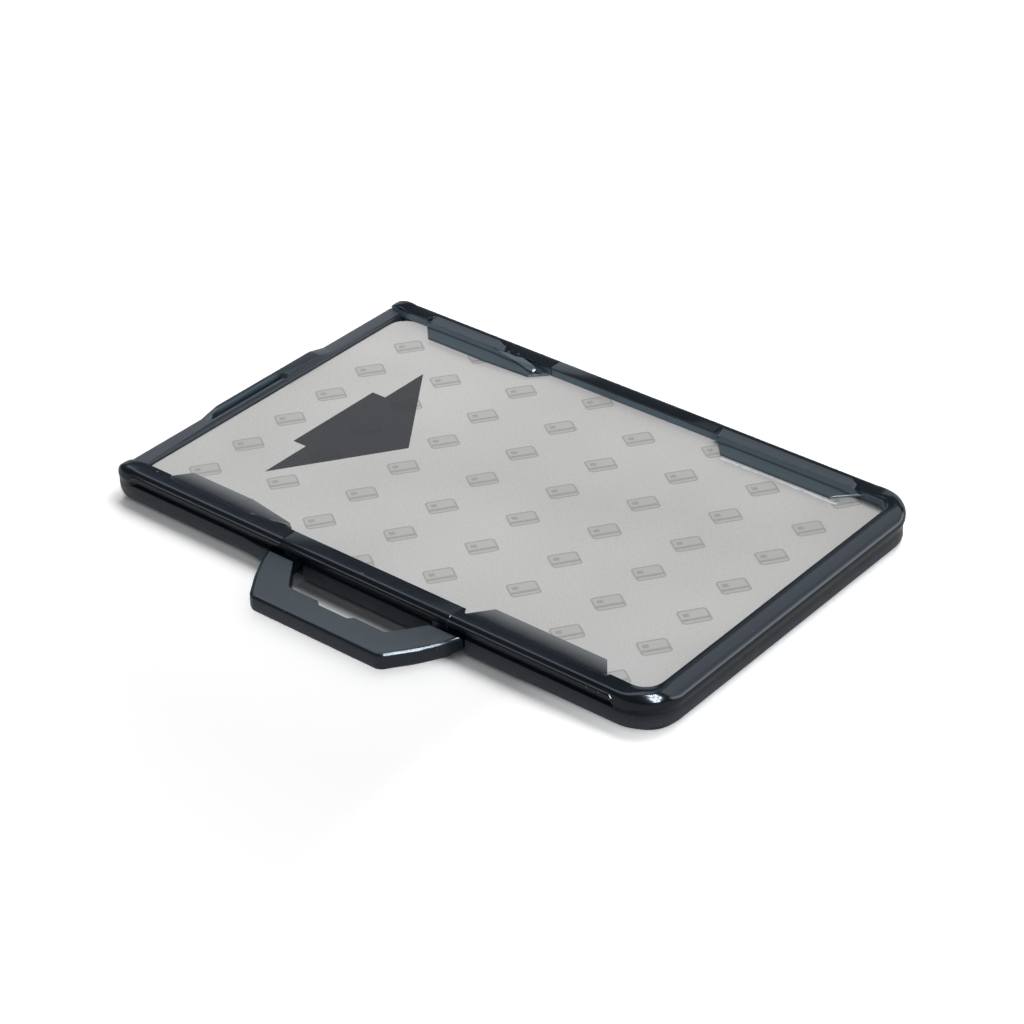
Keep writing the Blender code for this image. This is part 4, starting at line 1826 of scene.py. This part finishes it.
@dataclass
class TableTop:
    """White table under the holder, which keeps its shadow.

    The see-through loop casts no shadow of its own, so a painted shadow darkens the table seen
    through its hole, and painted light, a faint glow, lies on it beside the closed end.
    """

    radius: float = 3.0
    sink: float = 0.02 * MM
    lit: Colour = (0.80, 0.80, 0.80)
    seen: Colour = (1.3, 1.3, 1.3)
    in_gloss: Colour = (0.60, 0.60, 0.60)
    painted_loop_shadow: Colour = (0.10, 0.11, 0.12)
    loop_share: float = 0.85
    loop_outer: tuple[float, float] = (-33.8 * MM, -31.0 * MM)
    loop_inner: tuple[float, float] = (-20 * MM, -24 * MM)
    loop_half: tuple[float, float] = (15 * MM, 11 * MM)
    glow_far: tuple[float, float] = (0.06, 0.22)
    glow_end: tuple[float, float] = (24 * MM, 46 * MM)
    glow_end_share: float = 0.8
    glow: float = 0.6

    def material(self) -> bpy.types.Material:
        """Make the table's material.

        Returns:
            The material.
        """
        material = bpy.data.materials.new("white_table")
        material.use_nodes = True
        graph = Graph(material.node_tree)
        clear, gloss = graph.rays()
        x, y, _ = graph.axes()
        half = (x * x).ramp(*(reach ** 2 for reach in self.loop_half))
        # Painted shadow: the table seen through the loop's hole is darkened towards a dark colour.
        painted_loop_shadow = y.ramp(*self.loop_outer) * y.ramp(*self.loop_inner) * half
        colour = graph.mix(clear, graph.mix(gloss, self.lit, self.in_gloss), self.seen)
        colour = graph.mix(painted_loop_shadow * self.loop_share, colour, self.painted_loop_shadow)
        far = (x * x + y * y).root().ramp(*self.glow_far)
        # Glow for camera rays: far out it keeps the table evenly white; beside the closed end it is
        # painted light that lifts the shadow there.
        glow = clear * far.most(x.ramp(*self.glow_end) * self.glow_end_share) * self.glow
        shaders = (
            graph.node("ShaderNodeBsdfDiffuse", {}, {"Color": colour}),
            graph.node("ShaderNodeEmission", {}, {"Strength": glow}),
        )
        sockets = {index: shader.outputs[0] for index, shader in enumerate(shaders)}
        both = graph.node("ShaderNodeAddShader", {}, sockets)
        graph.node("ShaderNodeOutputMaterial", {}, {0: both.outputs[0]})
        return material

    def build(self) -> None:
        """Make the table top."""
        mesh = bmesh.new()
        bmesh.ops.create_circle(mesh, cap_ends=True, segments=96, radius=self.radius)
        bmesh.ops.translate(mesh, verts=mesh.verts[:], vec=(0, 0, -self.sink))
        top = loose_object("table_top", mesh)
        top.data.materials.append(self.material())


class Shows(Enum):
    """What a lamp takes part in."""

    LIGHT = "light"
    GLOSS = "gloss"


@dataclass
class Lamp:
    """Rectangular lamp that faces the holder.

    Its radiance is 1 for white, its size is its length and width, and a lamp that shows in
    gloss is a little blue.
    """

    name: str
    towards: Sequence[float]
    size: tuple[float, float]
    radiance: float
    shows: Shows
    long_axis: Sequence[float] = (1, 0, 0)
    distance: float = 0.7
    gloss_colour: Colour = (0.88, 1.0, 1.14)

    def build(self) -> None:
        """Make the lamp."""
        data = bpy.data.lights.new(self.name, "AREA")
        data.shape = "RECTANGLE"
        data.size, data.size_y = self.size
        data.energy = self.radiance * math.pi * self.size[0] * self.size[1]
        if self.shows is Shows.GLOSS:
            data.color = self.gloss_colour
        lamp = bpy.data.objects.new(self.name, data)
        back = Vector(self.towards).normalized()
        across = back.cross(Vector(self.long_axis)).normalized()
        turn = Matrix((across.cross(back), across, back)).transposed().to_4x4()
        lamp.matrix_world = Matrix.Translation(back * self.distance) @ turn
        lamp.visible_diffuse = self.shows is Shows.LIGHT
        lamp.visible_glossy = self.shows is Shows.GLOSS
        bpy.context.scene.collection.objects.link(lamp)


LAMPS = (
    Lamp("key", (0.05, 0.36, 0.92), (0.26, 0.26), 7.0, Shows.LIGHT),
    Lamp("left_fill", (-0.50, 0.36, 0.79), (0.15, 0.15), 6.2, Shows.LIGHT, distance=0.33),
    Lamp("overhead_panel", (-0.42, 0.20, 0.88), (0.62, 0.36), 1.5, Shows.GLOSS),
    Lamp("end_glow", (0.13, 0.655, 0.744), (0.65, 0.30), 0.40, Shows.GLOSS),
    Lamp(
        "end_glow_outer", (0.36, 0.66, 0.66), (0.55, 0.30), 0.85, Shows.GLOSS,
        (0.88, 0.0, -0.48),
    ),
    Lamp("end_strip", (0.71, 0.655, 0.22), (0.60, 0.30), 2.8, Shows.GLOSS, (-0.54, 0.74, -0.37)),
    Lamp("cap_panel", (-0.55, -0.10, 0.83), (0.50, 0.20), 0.6, Shows.GLOSS),
    Lamp("back_card", (-0.53, 0.83, 0.17), (1.10, 0.28), 0.45, Shows.GLOSS, (0.84, 0.54, 0.0)),
)


@dataclass
class Glint:
    """Small bright cluster, mirrored by the near corner of the closed end."""

    centre: Place = (0.66, -0.24, 0.75)
    down: Place = (0.71, -0.43, -0.56)
    across: Place = (0.31, 0.92, -0.21)
    size: tuple[float, float] = (0.28, 0.055)
    radiance: float = 40.0
    places: tuple[tuple[float, float], ...] = (
        (0.0, 0.0), (0.46, 0.07), (0.43, -0.09), (-0.44, 0.08), (-0.46, -0.06), (0.0, 0.15),
        (0.02, -0.15),
    )

    def build(self) -> None:
        """Make its lamps, each fallen and turned from the centre by its own amount."""
        centre, down, across = Vector(self.centre), Vector(self.down), Vector(self.across)
        for index, (fall, turn) in enumerate(self.places):
            towards = centre + down * fall + across * turn
            Lamp(f"glint_{index}", towards, self.size, self.radiance, Shows.GLOSS, down).build()


@dataclass
class PhotoCamera:
    """Camera at the photograph's place, for a square frame."""

    frame_pixels: int = 1024
    focal_pixels: float = 3050.46
    sensor: float = 36.0
    place: Place = (217.51, -270.21, 223.52)
    ahead: Place = (-0.52729, 0.65481, -0.54147)
    roll_degrees: float = -0.355

    def build(self) -> None:
        """Make the camera and look through it."""
        data = bpy.data.cameras.new("photo_camera")
        data.sensor_fit = "HORIZONTAL"
        data.sensor_width = self.sensor
        data.lens = self.focal_pixels / self.frame_pixels * self.sensor
        data.clip_start, data.clip_end = 0.01, 20.0
        camera = bpy.data.objects.new("photo_camera", data)
        ahead = Vector(self.ahead).normalized()
        right = ahead.cross(Vector((0, 0, 1))).normalized()
        up = right.cross(ahead)
        roll = math.radians(self.roll_degrees)
        level_right = right * math.cos(roll) + up * math.sin(roll)
        level_up = -right * math.sin(roll) + up * math.cos(roll)
        turn = Matrix((level_right, level_up, -ahead)).transposed().to_4x4()
        camera.matrix_world = Matrix.Translation(Vector(self.place) * MM) @ turn
        bpy.context.scene.collection.objects.link(camera)
        bpy.context.scene.camera = camera


@dataclass
class Studio:
    """Pale table, soft lamps and the camera at the photograph's angle."""

    sky: float = 0.33
    dim_room: float = 0.15

    def world(self) -> None:
        """Even light, white to the camera and dim to gloss, as in a dark room."""
        world = bpy.data.worlds.new("studio_sky")
        bpy.context.scene.world = world
        world.use_nodes = True
        graph = Graph(world.node_tree)
        clear, glossy = graph.rays()
        gloss = glossy * (1 - clear)
        strength = clear + gloss * self.dim_room + (1 - clear) * (1 - gloss) * self.sky
        background = graph.node("ShaderNodeBackground", {}, {"Strength": strength})
        graph.node("ShaderNodeOutputWorld", {}, {0: background.outputs[0]})

    def build(self) -> None:
        """Set up the studio."""
        bpy.context.scene.view_settings.view_transform = "Standard"
        self.world()
        TableTop().build()
        for lamp in LAMPS:
            lamp.build()
        Glint().build()
        PhotoCamera().build()


def main() -> None:
    """Build the studio and the holder."""
    logging.basicConfig(level=logging.INFO, format="%(name)s: %(message)s")
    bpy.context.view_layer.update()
    Studio().build()
    build_holder()


if __name__ == "__main__":
    main()
